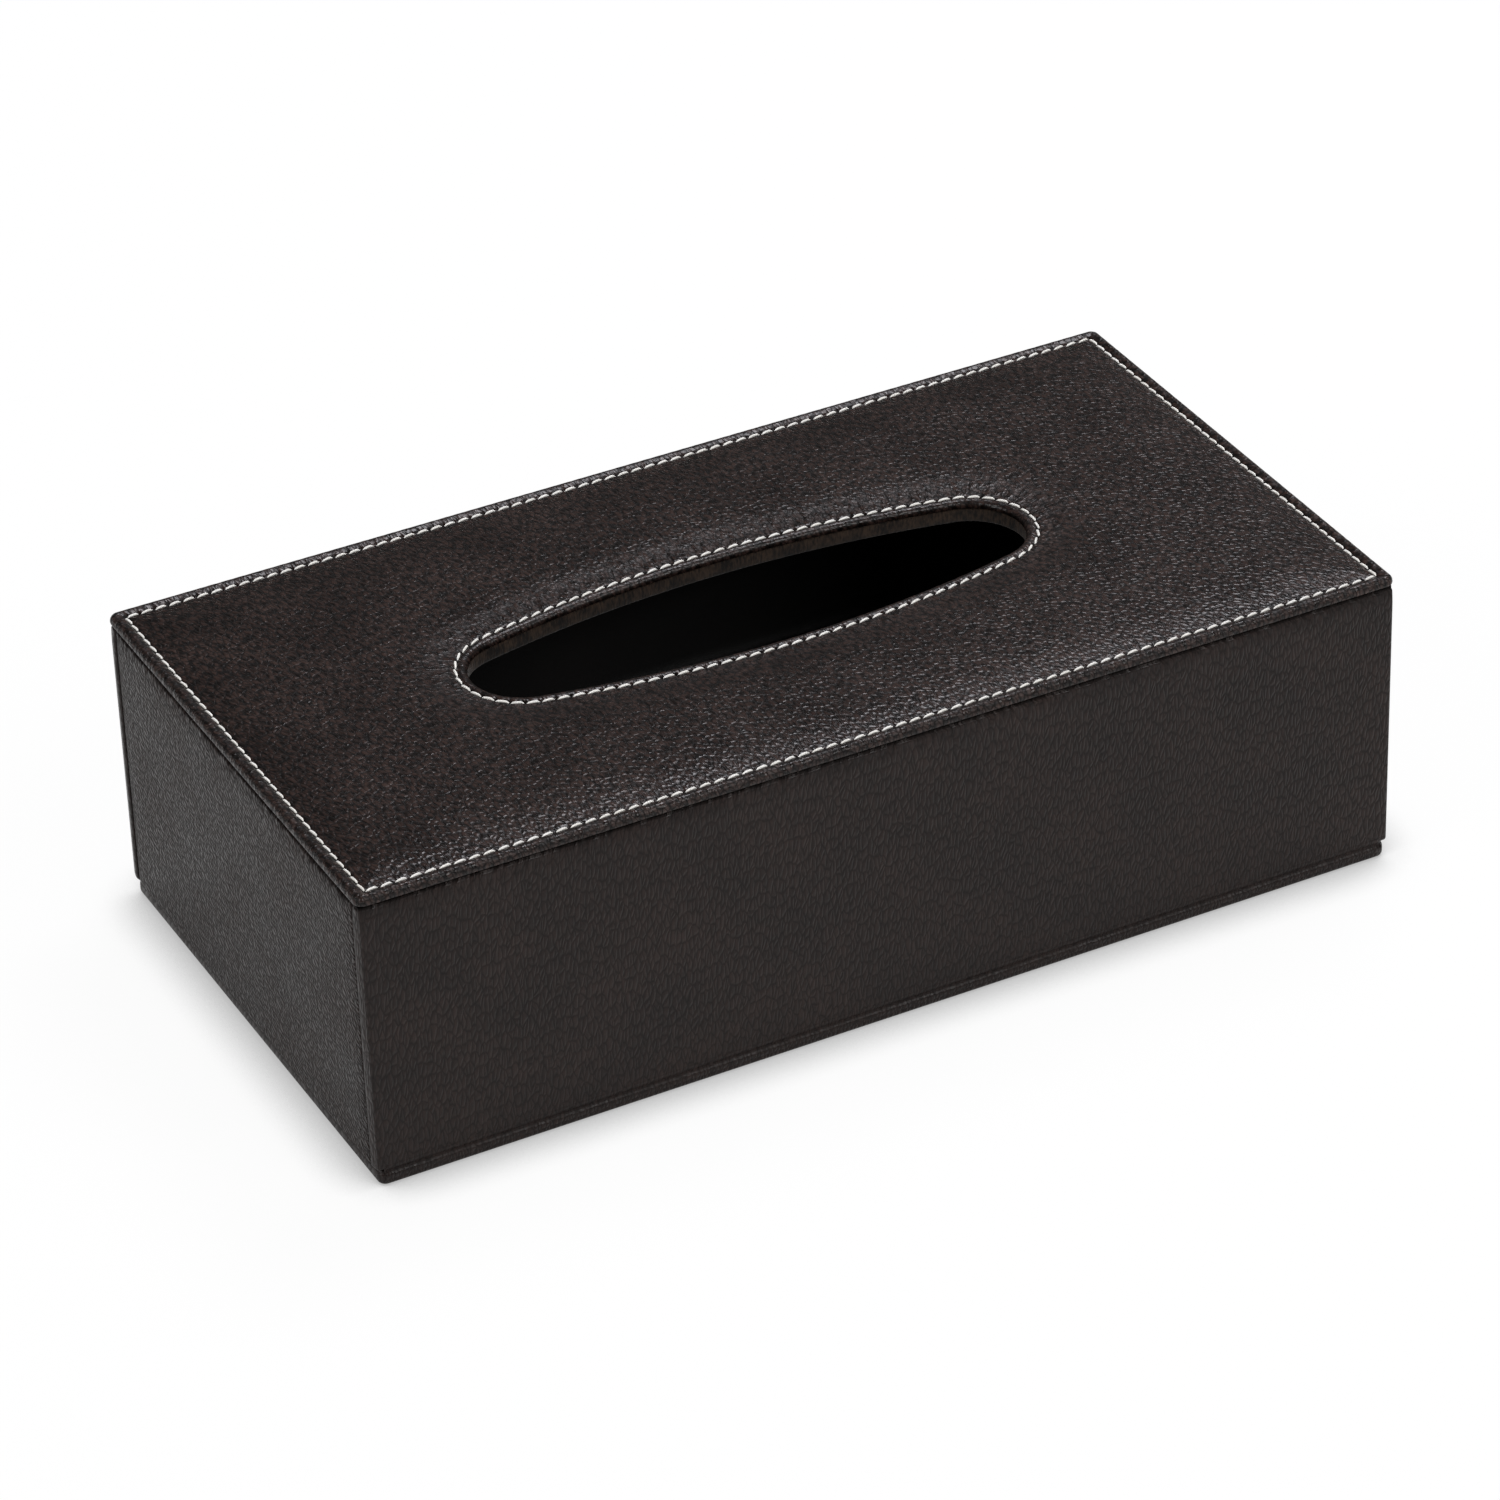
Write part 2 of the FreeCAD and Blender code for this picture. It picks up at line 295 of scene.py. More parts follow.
def oval_place(x, y):
    """How far points lie out from the opening's seam, and how far along it."""
    ax = np.abs(x)
    ay = np.abs(y)
    end_angle = np.arctan2(ay, ax - end_centre)
    side_angle = np.arctan2(ay + side_centre, ax)
    on_end = end_angle < join_angle
    out = np.where(
        on_end,
        np.hypot(ax - end_centre, ay) - seam_end_radius,
        np.hypot(ax, ay + side_centre) - side_radius,
    )
    run = np.where(on_end, end_angle * seam_end_radius, end_run + (side_angle - join_angle) * side_radius)
    run = np.where(x < 0, 2 * quarter_run - run, run)
    return out, np.where(y < 0, oval_run - run, run)


def edge_place(x, y):
    """How far points lie in from the case's outline, how far along that side, and the stitches run there."""
    from_end = half_length - np.abs(x)
    from_front = half_width - np.abs(y)
    on_long = from_front <= from_end
    inset = np.where(on_long, from_front, from_end)
    run = np.where(on_long, x, y)
    long_run = (x + seam_x) / (2 * seam_x) * long_stitches
    short_run = (y + seam_y) / (2 * seam_y) * short_stitches
    return inset, run, np.where(on_long, long_run, short_run)


def ripples(run, length, waves, seed, count=14):
    """An uneven wave that closes on itself after a length, from about -1 to 1, drawn from a seed."""
    draw = np.random.default_rng(seed)
    longest = length / waves[1]
    shortest = length / waves[0]
    turns = np.round(draw.uniform(longest, shortest, count))
    starts = draw.uniform(0.0, 2 * math.pi, count)
    total = sum(np.sin(2 * math.pi * t * run / length + s) for t, s in zip(turns, starts))
    return total / math.sqrt(2 * count)


def swell(a, b, waves, seed, count=10):
    """A slow uneven wave over a surface, from about -1 to 1."""
    draw = np.random.default_rng(seed)
    lengths = draw.uniform(waves[0], waves[1], count)
    headings = draw.uniform(0.0, math.pi, count)
    starts = draw.uniform(0.0, 2 * math.pi, count)
    total = sum(
        np.sin(2 * math.pi * (a * math.cos(h) + b * math.sin(h)) / w + s)
        for w, h, s in zip(lengths, headings, starts)
    )
    return total / math.sqrt(2 * count)


def bell(distance, reach):
    """1 at no distance, falling away smoothly past a reach."""
    return np.exp(-((distance / reach) ** 2))


def top_relief(x, y):
    """How far the top's leather stands above or below its plain level."""
    out, oval_along = oval_place(x, y)
    inset, _, edge_count = edge_place(x, y)
    from_seam = inset - edge_seam_inset
    outside = np.maximum(out, 0.0)
    within = np.maximum(from_seam, 0.0)
    rise = crown_rise * (1 - bell(within, crown_reach)) * (1 - bell(outside, crown_reach))
    edge_side = np.where(from_seam > 0, edge_dip_reach, margin_reach)
    rise = rise - edge_dip * bell(from_seam, edge_side)
    inside = np.minimum(out, 0.0)
    rise = rise - oval_dip * bell(outside, oval_dip_reach) + lip_rise * (1 - bell(inside, lip_rise_reach))
    for gap, phase in ((from_seam, edge_count), (out, oval_along / oval_run * opening_stitches)):
        from_hole = np.abs(phase - np.round(phase)) * stitch_pitch
        rise = rise - groove_depth * bell(gap, groove_half)
        rise = rise - hole_depth * bell(gap, hole_half) * bell(from_hole, hole_half)
        bulge = -np.cos(2 * math.pi * phase) * np.exp(-np.abs(gap) / pucker_reach)
        rise = rise + pucker_height * bulge * (1 - bell(gap, groove_half))
    change = ripples(oval_along, oval_run, gather_change_waves, gather_change_seed)
    uneven = gather_mean + gather_change * change
    bend = gather_lean * ripples(oval_along, oval_run, gather_lean_waves, gather_lean_seed)
    crease = ripples(oval_along + outside * bend, oval_run, gather_waves, gather_seed)
    spread = np.exp(-outside / (gather_reach * np.clip(uneven, *gather_limits)))
    past_side = np.maximum(np.abs(x) - end_centre, 0.0)
    on_side = gather_at_ends + (1 - gather_at_ends) * bell(past_side, gather_end_fade)
    gathered = np.where(out > 0, spread * (1 - bell(outside, gather_start)), 0.0)
    rise = rise + gather_height * crease * gathered * on_side
    flat = (1 - bell(within, swell_start)) * (1 - bell(outside, swell_start))
    rise = rise + swell_height * swell(x, y, swell_waves, swell_seed) * flat
    return rise


def panel_level(height, x, y):
    """A level of the padded top, pressed or lifted with its leather; its foot stays where it is."""
    return panel_foot + (height - panel_foot) * (1 + top_relief(x, y) / panel_height)


def loft(rings):
    """Draws a skin ring by ring: a circle laid along the first ring, extruded to each next one."""
    bm = bmesh.new()
    line = bmesh.ops.create_circle(bm, segments=len(rings[0]), radius=1.0)["verts"]
    for vert, point in zip(line, rings[0]):
        vert.co = point
    edges = bm.edges[:]
    for ring in rings[1:]:
        place = {vert: k for k, vert in enumerate(line)}
        grown = bmesh.ops.extrude_edge_only(bm, edges=edges)["geom"]
        edges = [g for g in grown if isinstance(g, bmesh.types.BMEdge)]
        fresh = [g for g in grown if isinstance(g, bmesh.types.BMVert)]
        line = [None] * len(line)
        for vert in fresh:
            ends = [edge.other_vert(vert) for edge in vert.link_edges]
            k = next(place[end] for end in ends if end in place)
            vert.co = ring[k]
            line[k] = vert
    return bm


def lay(rows):
    """A flat cut, drawn as a grid and laid line by line where it is wrapped."""
    bm = bmesh.new()
    bmesh.ops.create_grid(bm, x_segments=len(rows[0]) - 1, y_segments=len(rows) - 1, size=1.0)
    for vert, point in zip(bm.verts, np.concatenate(rows)):
        vert.co = point
    return bm


def weld(bm):
    """Closes a skin where its lines meet."""
    bmesh.ops.remove_doubles(bm, verts=bm.verts, dist=weld_distance)
    bmesh.ops.dissolve_degenerate(bm, edges=bm.edges, dist=least_edge)


def close(bm):
    """Closes a skin that is whole all round, and turns its faces outwards."""
    weld(bm)
    bmesh.ops.recalc_face_normals(bm, faces=bm.faces)


def turn_out(bm, outward):
    """Turns an open skin so that most of it faces a way."""
    weld(bm)
    bm.normal_update()
    total = Vector((0.0, 0.0, 0.0))
    for face in bm.faces:
        total += face.normal * face.calc_area()
    if total.dot(Vector(outward)) < 0:
        bmesh.ops.reverse_faces(bm, faces=bm.faces)


def raised(line, height):
    """A plan line at one height, or at a height for each of its points."""
    return np.column_stack((line, np.broadcast_to(height, len(line))))


def settle(name, bm, finish, body, slot, *stands_for, thickness=None, sharp=None):
    """Makes a piece of a mesh, on its body and in place of its solids."""
    mesh = bpy.data.meshes.new(name)
    bm.to_mesh(mesh)
    bm.free()
    mesh.shade_smooth()
    if sharp:
        mesh.set_sharp_from_angle(angle=math.radians(sharp))
    mesh.materials.append(finish)
    piece = bpy.data.objects.new(name, mesh)
    bpy.context.scene.collection.objects.link(piece)
    if thickness:
        skin = piece.modifiers.new("thickness", "SOLIDIFY")
        skin.thickness = thickness
        skin.offset = -1.0
        skin.use_even_offset = True
    if body:
        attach(piece, body)
    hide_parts(*stands_for)
    return piece


def points_of(piece):
    """The places of a piece's points, one row each."""
    mesh = piece.data
    found = np.empty(len(mesh.vertices) * 3)
    mesh.vertices.foreach_get("co", found)
    return found.reshape(-1, 3)


def mark(piece, name, values):
    """Keeps a number for each point of a piece, for its finish to read."""
    layer = piece.data.attributes.new(name, "FLOAT", "POINT")
    layer.data.foreach_set("value", np.asarray(values, dtype=np.float32))


def mark_grain(piece, along, across):
    """Keeps where each point of a piece lay on the flat hide, for the grain to follow."""
    layer = piece.data.attributes.new("grain", "FLOAT_VECTOR", "POINT")
    flat = np.column_stack((along, across, np.zeros(len(along))))
    layer.data.foreach_set("vector", flat.astype(np.float32).ravel())


# Finishes

def new_finish(name):
    """A named material with its tree and its shader."""
    finish = bpy.data.materials.new(name)
    finish.use_nodes = True
    return finish, finish.node_tree, finish.node_tree.nodes["Principled BSDF"]


def add(tree, kind, inputs, **settings):
    """Adds a node with its settings, and its inputs by name or number as values or as links."""
    node = tree.nodes.new(kind)
    for key, value in settings.items():
        setattr(node, key, value)
    for key, value in inputs.items():
        if isinstance(value, bpy.types.NodeSocket):
            tree.links.new(value, node.inputs[key])
        else:
            node.inputs[key].default_value = value
    return node


def object_place(tree):
    """Places in the piece's own space."""
    return add(tree, "ShaderNodeTexCoord", {}).outputs["Object"]


def noise(tree, place, size, detail=2.0, rough=0.5):
    """Soft uneven spots of a size."""
    inputs = {"Vector": place, "Scale": 1.0 / size, "Detail": detail, "Roughness": rough}
    return add(tree, "ShaderNodeTexNoise", inputs)


def ramp(tree, value, low, high, to_low=0.0, to_high=1.0):
    """A value eased from one range to another."""
    inputs = {"Value": value, "From Min": low, "From Max": high, "To Min": to_low, "To Max": to_high}
    return add(tree, "ShaderNodeMapRange", inputs, interpolation_type="SMOOTHSTEP").outputs["Result"]


def sums(tree, operation, *values):
    """One arithmetic step on values or links."""
    return add(tree, "ShaderNodeMath", dict(enumerate(values)), operation=operation).outputs[0]


def tint(tree, part, first, second, kind="MIX"):
    """Two colours mixed by a part."""
    mix = add(tree, "ShaderNodeMix", {0: part, 6: first, 7: second}, data_type="RGBA", blend_type=kind)
    return mix.outputs[2]


def mapped(tree, place, scale, turn=(0.0, 0.0, 0.0)):
    """Places stretched and turned for a grain that runs one way."""
    inputs = {"Vector": place, "Scale": scale, "Rotation": turn}
    return add(tree, "ShaderNodeMapping", inputs, vector_type="TEXTURE").outputs["Vector"]


def attribute(tree, name):
    """A number that was kept for each point of the piece."""
    return add(tree, "ShaderNodeAttribute", {}, attribute_name=name).outputs["Fac"]


def bump(tree, height, distance, under=None):
    """Relief from a height between 0 and 1, over an earlier relief."""
    inputs = {"Height": height, "Distance": distance, "Strength": 1.0}
    if under:
        inputs["Normal"] = under
    return add(tree, "ShaderNodeBump", inputs).outputs["Normal"]


leather_dark = (0.0100, 0.0056, 0.0046, 1.0)
leather_light = (0.0165, 0.0098, 0.0081, 1.0)
# Near black painted shade for needle holes, the walls' crest in the slot under the top, and the underside of
# the top's edge
painted_shade_colour = (0.0015, 0.0012, 0.001, 1.0)
soft_range = (0.3, 0.7)

# Leather: sizes of its grain in parts of a cell, and the streaks of pulled leather
drift_size = 1.8
dome_reach = 0.40
crease_core = 0.02
pore_size = 0.55
pore_rough = 0.6
pore_height = 0.55
pore_range = (0.32, 0.50)
faint_crease = 0.45
# Spots at grain size, partly uneven tone and partly painted grain sparkle: their size in cells and their
# range
mottle_and_sparkle_size = 1.1
mottle_and_sparkle_range = (0.36, 0.64)
dye_size = 0.022
dye_range = (0.30, 0.72)
gloss_range = (0.35, 0.65)
full_pull = 0.35
pulled_grain = 0.42
streak_size = 0.0015
streak_squeeze = 0.42
streak_rough = 0.55
streak_range = (0.35, 0.65)
streak_relief = 0.00017
streak_gloss_range = (0.44, 0.64)
streak_gloss = (0.26, -0.09)


def leather(name, cell, stretch, turn, wander, depth, gloss, crease_reach, crease_shade, crease_matt,
            crease_shade_metal, mottle_and_sparkle, shine):
    """Dyed leather: rounded grain, pores, uneven dye and pulled streaks, with painted shade and partly
    painted sparkle.
    """
    finish, tree, shader = new_finish(name)
    flat_place = add(tree, "ShaderNodeAttribute", {}, attribute_name="grain").outputs["Vector"]
    grain_place = mapped(tree, flat_place, stretch, (0.0, 0.0, turn))
    drift = noise(tree, grain_place, cell * drift_size, detail=1.0).outputs["Color"]
    inputs = {0: drift, 1: (cell * wander,) * 3, 2: grain_place}
    wandered = add(tree, "ShaderNodeVectorMath", inputs, operation="MULTIPLY_ADD").outputs[0]
    inputs = {"Vector": wandered, "Scale": 1.0 / cell}
    settings = {"feature": "DISTANCE_TO_EDGE", "voronoi_dimensions": "2D"}
    borders = add(tree, "ShaderNodeTexVoronoi", inputs, **settings).outputs["Distance"]
    dome = ramp(tree, borders, 0.0, dome_reach)
    crease = ramp(tree, borders, crease_core, crease_reach, 1.0, 0.0)
    pores = noise(tree, grain_place, cell * pore_size, rough=pore_rough).outputs["Fac"]
    crease = sums(tree, "MULTIPLY", crease, ramp(tree, pores, *pore_range, faint_crease, 1.0))
    dye = noise(tree, flat_place, dye_size).outputs["Fac"]
    pull = attribute(tree, "pull")
    height = sums(tree, "MULTIPLY_ADD", pores, pore_height, dome)
    height = sums(tree, "MULTIPLY", height, ramp(tree, pull, 0.0, full_pull, 1.0, pulled_grain))
    normal = bump(tree, height, depth)

    run = attribute(tree, "run")
    across = sums(tree, "MULTIPLY", attribute(tree, "across"), streak_squeeze)
    strip = add(tree, "ShaderNodeCombineXYZ", {0: run, 1: across}).outputs[0]
    streaks = noise(tree, strip, streak_size, rough=streak_rough).outputs["Fac"]
    streak_height = sums(tree, "MULTIPLY", ramp(tree, streaks, *streak_range), pull)
    normal = bump(tree, streak_height, streak_relief, normal)

    dye_shade_and_sparkle = tint(tree, ramp(tree, dye, *dye_range), leather_dark, leather_light)
    # Painted shade: the colour darkens in the grain's creases
    dye_shade_and_sparkle = tint(tree, 1.0, dye_shade_and_sparkle, ramp(tree, crease, 0.0, 1.0, 1.0, crease_shade), "MULTIPLY")
    # Spots of uneven tone at grain size, spread out to bright ones that stand in for grain sparkle: partly
    # painted highlight
    mottle_and_sparkle_spots = noise(tree, grain_place, cell * mottle_and_sparkle_size, detail=1.0).outputs["Fac"]
    dye_shade_and_sparkle = tint(tree, 1.0, dye_shade_and_sparkle, ramp(tree, mottle_and_sparkle_spots, *mottle_and_sparkle_range, *mottle_and_sparkle), "MULTIPLY")
    # Painted shade: near black where points are marked, at needle holes, in the slot and under the top's edge
    painted_shade = attribute(tree, "painted_shade")
    tree.links.new(tint(tree, painted_shade, dye_shade_and_sparkle, painted_shade_colour), shader.inputs["Base Color"])
    uneven = sums(tree, "MULTIPLY_ADD", pores, 0.5, sums(tree, "MULTIPLY", dye, 0.5))
    matt = ramp(tree, uneven, *gloss_range, *gloss)
    matt = sums(tree, "MULTIPLY_ADD", pull, ramp(tree, streaks, *streak_gloss_range, *streak_gloss), matt)
    matt = sums(tree, "MULTIPLY_ADD", crease, crease_matt, matt)
    tree.links.new(matt, shader.inputs["Roughness"])
    # Painted shade: metallic in the creases and marked spots turns their dark colour into a dark reflection,
    # dulling them
    painted_shade_metal = sums(tree, "MAXIMUM", painted_shade, sums(tree, "MULTIPLY", crease, crease_shade_metal))
    tree.links.new(painted_shade_metal, shader.inputs["Metallic"])
    tree.links.new(normal, shader.inputs["Normal"])
    shader.inputs["Specular IOR Level"].default_value = shine
    return finish


thread_pale = (0.92, 0.90, 0.84, 1.0)
thread_bright = (0.98, 0.97, 0.93, 1.0)
thread_twist = (0.2, 0.5, 1.0)
fibre_size = 0.00012
fibre_part = 0.4
thread_relief = 0.00004
thread_cloud = 0.006
ply_shade = 0.92
thread_matt = (0.48, 0.66)
thread_sheen = 0.15


def cream_thread():
    """Twisted cream thread with fine fibres."""
    finish, tree, shader = new_finish("cream_thread")
    uv = add(tree, "ShaderNodeUVMap", {}, uv_map="thread").outputs["UV"]
    twist = add(tree, "ShaderNodeTexWave", {"Vector": mapped(tree, uv, thread_twist), "Scale": 1.0})
    place = object_place(tree)
    fibres = noise(tree, place, fibre_size, detail=3.0).outputs["Fac"]
    ply = twist.outputs["Fac"]
    height = sums(tree, "MULTIPLY_ADD", fibres, fibre_part, ply)
    tree.links.new(bump(tree, height, thread_relief), shader.inputs["Normal"])
    cloud = noise(tree, place, thread_cloud).outputs["Fac"]
    pale = tint(tree, ramp(tree, cloud, *soft_range), thread_pale, thread_bright)
    # Painted shade: the thread darkens in the grooves between its plies
    shade = ramp(tree, ply, 0.0, 0.5, ply_shade, 1.0)
    tree.links.new(tint(tree, 1.0, pale, shade, "MULTIPLY"), shader.inputs["Base Color"])
    tree.links.new(ramp(tree, fibres, *soft_range, *thread_matt), shader.inputs["Roughness"])
    shader.inputs["Sheen Weight"].default_value = thread_sheen
    return finish


def two_tones(tree, shader, fine, slow, share, span, dark, light):
    """Colours a surface between two tones by a fine and a slow pattern, each with its share."""
    part = sums(tree, "MULTIPLY_ADD", fine, share, sums(tree, "MULTIPLY", slow, 1.0 - share))
    tree.links.new(tint(tree, ramp(tree, part, *span), dark, light), shader.inputs["Base Color"])


suede_dark = (0.0035, 0.0022, 0.0016, 1.0)
suede_light = (0.044, 0.027, 0.0175, 1.0)
suede_range = (0.36, 0.64)
suede_matt = (0.85, 0.97)
nap_size = 0.00050
nap_stretch = (1.0, 1.0, 3.5)
nap_rough = 0.6
nap_share = 0.6
nap_relief = 0.00022
brushing_size = 0.004
suede_shine = 0.2
suede_sheen = 0.2


def brown_suede():
    """Brushed suede with a short upright nap."""
    finish, tree, shader = new_finish("brown_suede")
    place = object_place(tree)
    upright = mapped(tree, place, nap_stretch)
    nap = noise(tree, upright, nap_size, detail=3.0, rough=nap_rough).outputs["Fac"]
    brushed = noise(tree, place, brushing_size, detail=3.0).outputs["Fac"]
    two_tones(tree, shader, nap, brushed, nap_share, suede_range, suede_dark, suede_light)
    tree.links.new(bump(tree, nap, nap_relief), shader.inputs["Normal"])
    tree.links.new(ramp(tree, brushed, *soft_range, *suede_matt), shader.inputs["Roughness"])
    shader.inputs["Specular IOR Level"].default_value = suede_shine
    shader.inputs["Sheen Weight"].default_value = suede_sheen
    return finish


velvet_dark = (0.004, 0.004, 0.004, 1.0)
velvet_light = (0.011, 0.010, 0.0095, 1.0)
velvet_range = (0.36, 0.66)
velvet_matt = (0.86, 0.98)
pile_size = 0.00030
pile_share = 0.5
pile_relief = 0.00012
stroke_size = 0.030
velvet_shine = 0.15
velvet_sheen = 0.12


def black_velvet():
    """Short black pile that lies a little unevenly."""
    finish, tree, shader = new_finish("black_velvet")
    place = object_place(tree)
    pile = noise(tree, place, pile_size).outputs["Fac"]
    stroked = noise(tree, place, stroke_size, detail=3.0).outputs["Fac"]
    two_tones(tree, shader, pile, stroked, pile_share, velvet_range, velvet_dark, velvet_light)
    tree.links.new(bump(tree, pile, pile_relief), shader.inputs["Normal"])
    tree.links.new(ramp(tree, stroked, *soft_range, *velvet_matt), shader.inputs["Roughness"])
    shader.inputs["Specular IOR Level"].default_value = velvet_shine
    shader.inputs["Sheen Weight"].default_value = velvet_sheen
    return finish


board_dark = (0.17, 0.14, 0.11, 1.0)
board_light = (0.30, 0.26, 0.21, 1.0)
board_range = (0.35, 0.65)
board_matt = (0.78, 0.92)
fleck_size = 0.0011
fleck_rough = 0.65
fleck_share = 0.7
fleck_relief = 0.00006
board_layers = 0.012


def grey_board():
    """Pressed fibre board with flecks."""
    finish, tree, shader = new_finish("grey_board")
    place = object_place(tree)
    flecks = noise(tree, place, fleck_size, detail=4.0, rough=fleck_rough).outputs["Fac"]
    layers = noise(tree, place, board_layers).outputs["Fac"]
    two_tones(tree, shader, flecks, layers, fleck_share, board_range, board_dark, board_light)
    tree.links.new(bump(tree, flecks, fleck_relief), shader.inputs["Normal"])
    tree.links.new(ramp(tree, flecks, *soft_range, *board_matt), shader.inputs["Roughness"])
    return finish


foam_dark = (0.028, 0.028, 0.030, 1.0)
foam_light = (0.075, 0.075, 0.078, 1.0)
foam_range = (0.1, 0.8)
foam_matt_range = (0.0, 0.8)
foam_matt = (0.86, 0.97)
foam_cell = 0.0006
foam_relief = 0.00020


def charcoal_foam():
    """Thin open-cell foam."""
    finish, tree, shader = new_finish("charcoal_foam")
    inputs = {"Vector": object_place(tree), "Scale": 1.0 / foam_cell}
    cells = add(tree, "ShaderNodeTexVoronoi", inputs).outputs["Distance"]
    colour = tint(tree, ramp(tree, cells, *foam_range), foam_dark, foam_light)
    tree.links.new(colour, shader.inputs["Base Color"])
    tree.links.new(bump(tree, cells, foam_relief), shader.inputs["Normal"])
    tree.links.new(ramp(tree, cells, *foam_matt_range, *foam_matt), shader.inputs["Roughness"])
    return finish


nickel_dark = (0.56, 0.54, 0.50, 1.0)
nickel_bright = (0.70, 0.68, 0.64, 1.0)
nickel_brushing = 0.0004
steel_dark = (0.42, 0.42, 0.42, 1.0)
steel_bright = (0.58, 0.58, 0.58, 1.0)
steel_brushing = 0.0003
brush_stretch = (20.0, 1.0, 1.0)
brush_relief = 0.00001
metal_matt = (0.22, 0.40)


def plated(name, colour, bright, brushed):
    """Plated or rolled metal, brushed along its length."""
    finish, tree, shader = new_finish(name)
    place = mapped(tree, object_place(tree), brush_stretch)
    lines = noise(tree, place, brushed, detail=3.0).outputs["Fac"]
    tree.links.new(tint(tree, ramp(tree, lines, *soft_range), colour, bright), shader.inputs["Base Color"])
    tree.links.new(ramp(tree, lines, *soft_range, *metal_matt), shader.inputs["Roughness"])
    tree.links.new(bump(tree, lines, brush_relief), shader.inputs["Normal"])
    shader.inputs["Metallic"].default_value = 1.0
    return finish


# Each leather below paints shade into its creases, by colour and by metallic, and partly paints grain sparkle
# into light spots
top_leather_finish = leather(
    "padded_top_leather",
    cell=0.00105,
    stretch=(1.0, 1.9, 1.0),
    turn=math.radians(17),
    wander=0.9,
    depth=0.000075,
    gloss=(0.20, 0.27),
    crease_reach=0.20,
    crease_shade=0.30,
    crease_matt=0.20,
    crease_shade_metal=0.35,
    mottle_and_sparkle=(0.35, 2.50),
    shine=0.27,
)
long_wall_finish = leather(
    "smooth_wall_leather",
    cell=0.00100,
    stretch=(1.0, 3.0, 1.0),
    turn=math.radians(-4),
    wander=1.0,
    depth=0.000105,
    gloss=(0.32, 0.43),
    crease_reach=0.16,
    crease_shade=0.60,
    crease_matt=0.10,
    crease_shade_metal=0.15,
    mottle_and_sparkle=(0.75, 1.25),
    shine=0.19,
)
short_wall_finish = leather(
    "grained_wall_leather",
    cell=0.00112,
    stretch=(1.0, 2.0, 1.0),
    turn=math.radians(-51),
    wander=0.80,
    depth=0.000210,
    gloss=(0.26, 0.36),
    crease_reach=0.28,
    crease_shade=0.62,
    crease_matt=0.25,
    crease_shade_metal=0.40,
    mottle_and_sparkle=(0.70, 1.25),
    shine=0.11,
)
thread_finish = cream_thread()
suede_finish = brown_suede()
velvet_finish = black_velvet()
board_finish = grey_board()
foam_finish = charcoal_foam()
magnet_finish = plated("nickel_plate", nickel_dark, nickel_bright, nickel_brushing)
keeper_finish = plated("rolled_steel", steel_dark, steel_bright, steel_brushing)


# The padded top

panel_steps = (134, 8, 258)
margin_insets = (
    0.0018, 0.0021, 0.0024, 0.0027, 0.00295, 0.0032, 0.00345, 0.0037,
    0.0040, 0.0044, 0.0050, 0.0058, 0.0068, 0.0082, 0.0100,
)
field_rows = 6
oval_outsets = (
    0.0140, 0.0120, 0.0102, 0.0087, 0.0074, 0.0063, 0.0053, 0.0044, 0.0036, 0.0029, 0.0023, 0.0018,
    0.00135, 0.0010, 0.0007, 0.00045, 0.00022, 0.0, -0.00022, -0.00045, -0.00075, -0.0010,
)
bottom_round_steps = 3
top_round_steps = 5
lip_round_steps = 5
lip_foot_steps = 4
oval_zone = 0.015
drawn_start = 0.0012
drawn_reach = 0.0050
drawn_edge = 0.0003
drawn_fade = 0.0006
roll_pull = 0.3
roll_start = 0.5
roll_reach = 0.001
shoulder_pull = 0.9
shoulder_start = 0.0012
shoulder_reach = 0.0008
# Painted shade: its size round each needle hole, and its band along the underside of the top's edge
hole_shade_across = 0.0004
hole_shade_along = 0.0005
under_shade_height = 0.00015
under_shade_fade = 0.0001
foam_steps = (34, 3, 65)
foam_insets = (0.0, 0.0004, 0.0022, 0.0032, 0.0045, 0.008)
foam_field_parts = (0.33, 0.67)
foam_outsets = (0.012, 0.007, 0.004, 0.002, 0.0, -0.0010)


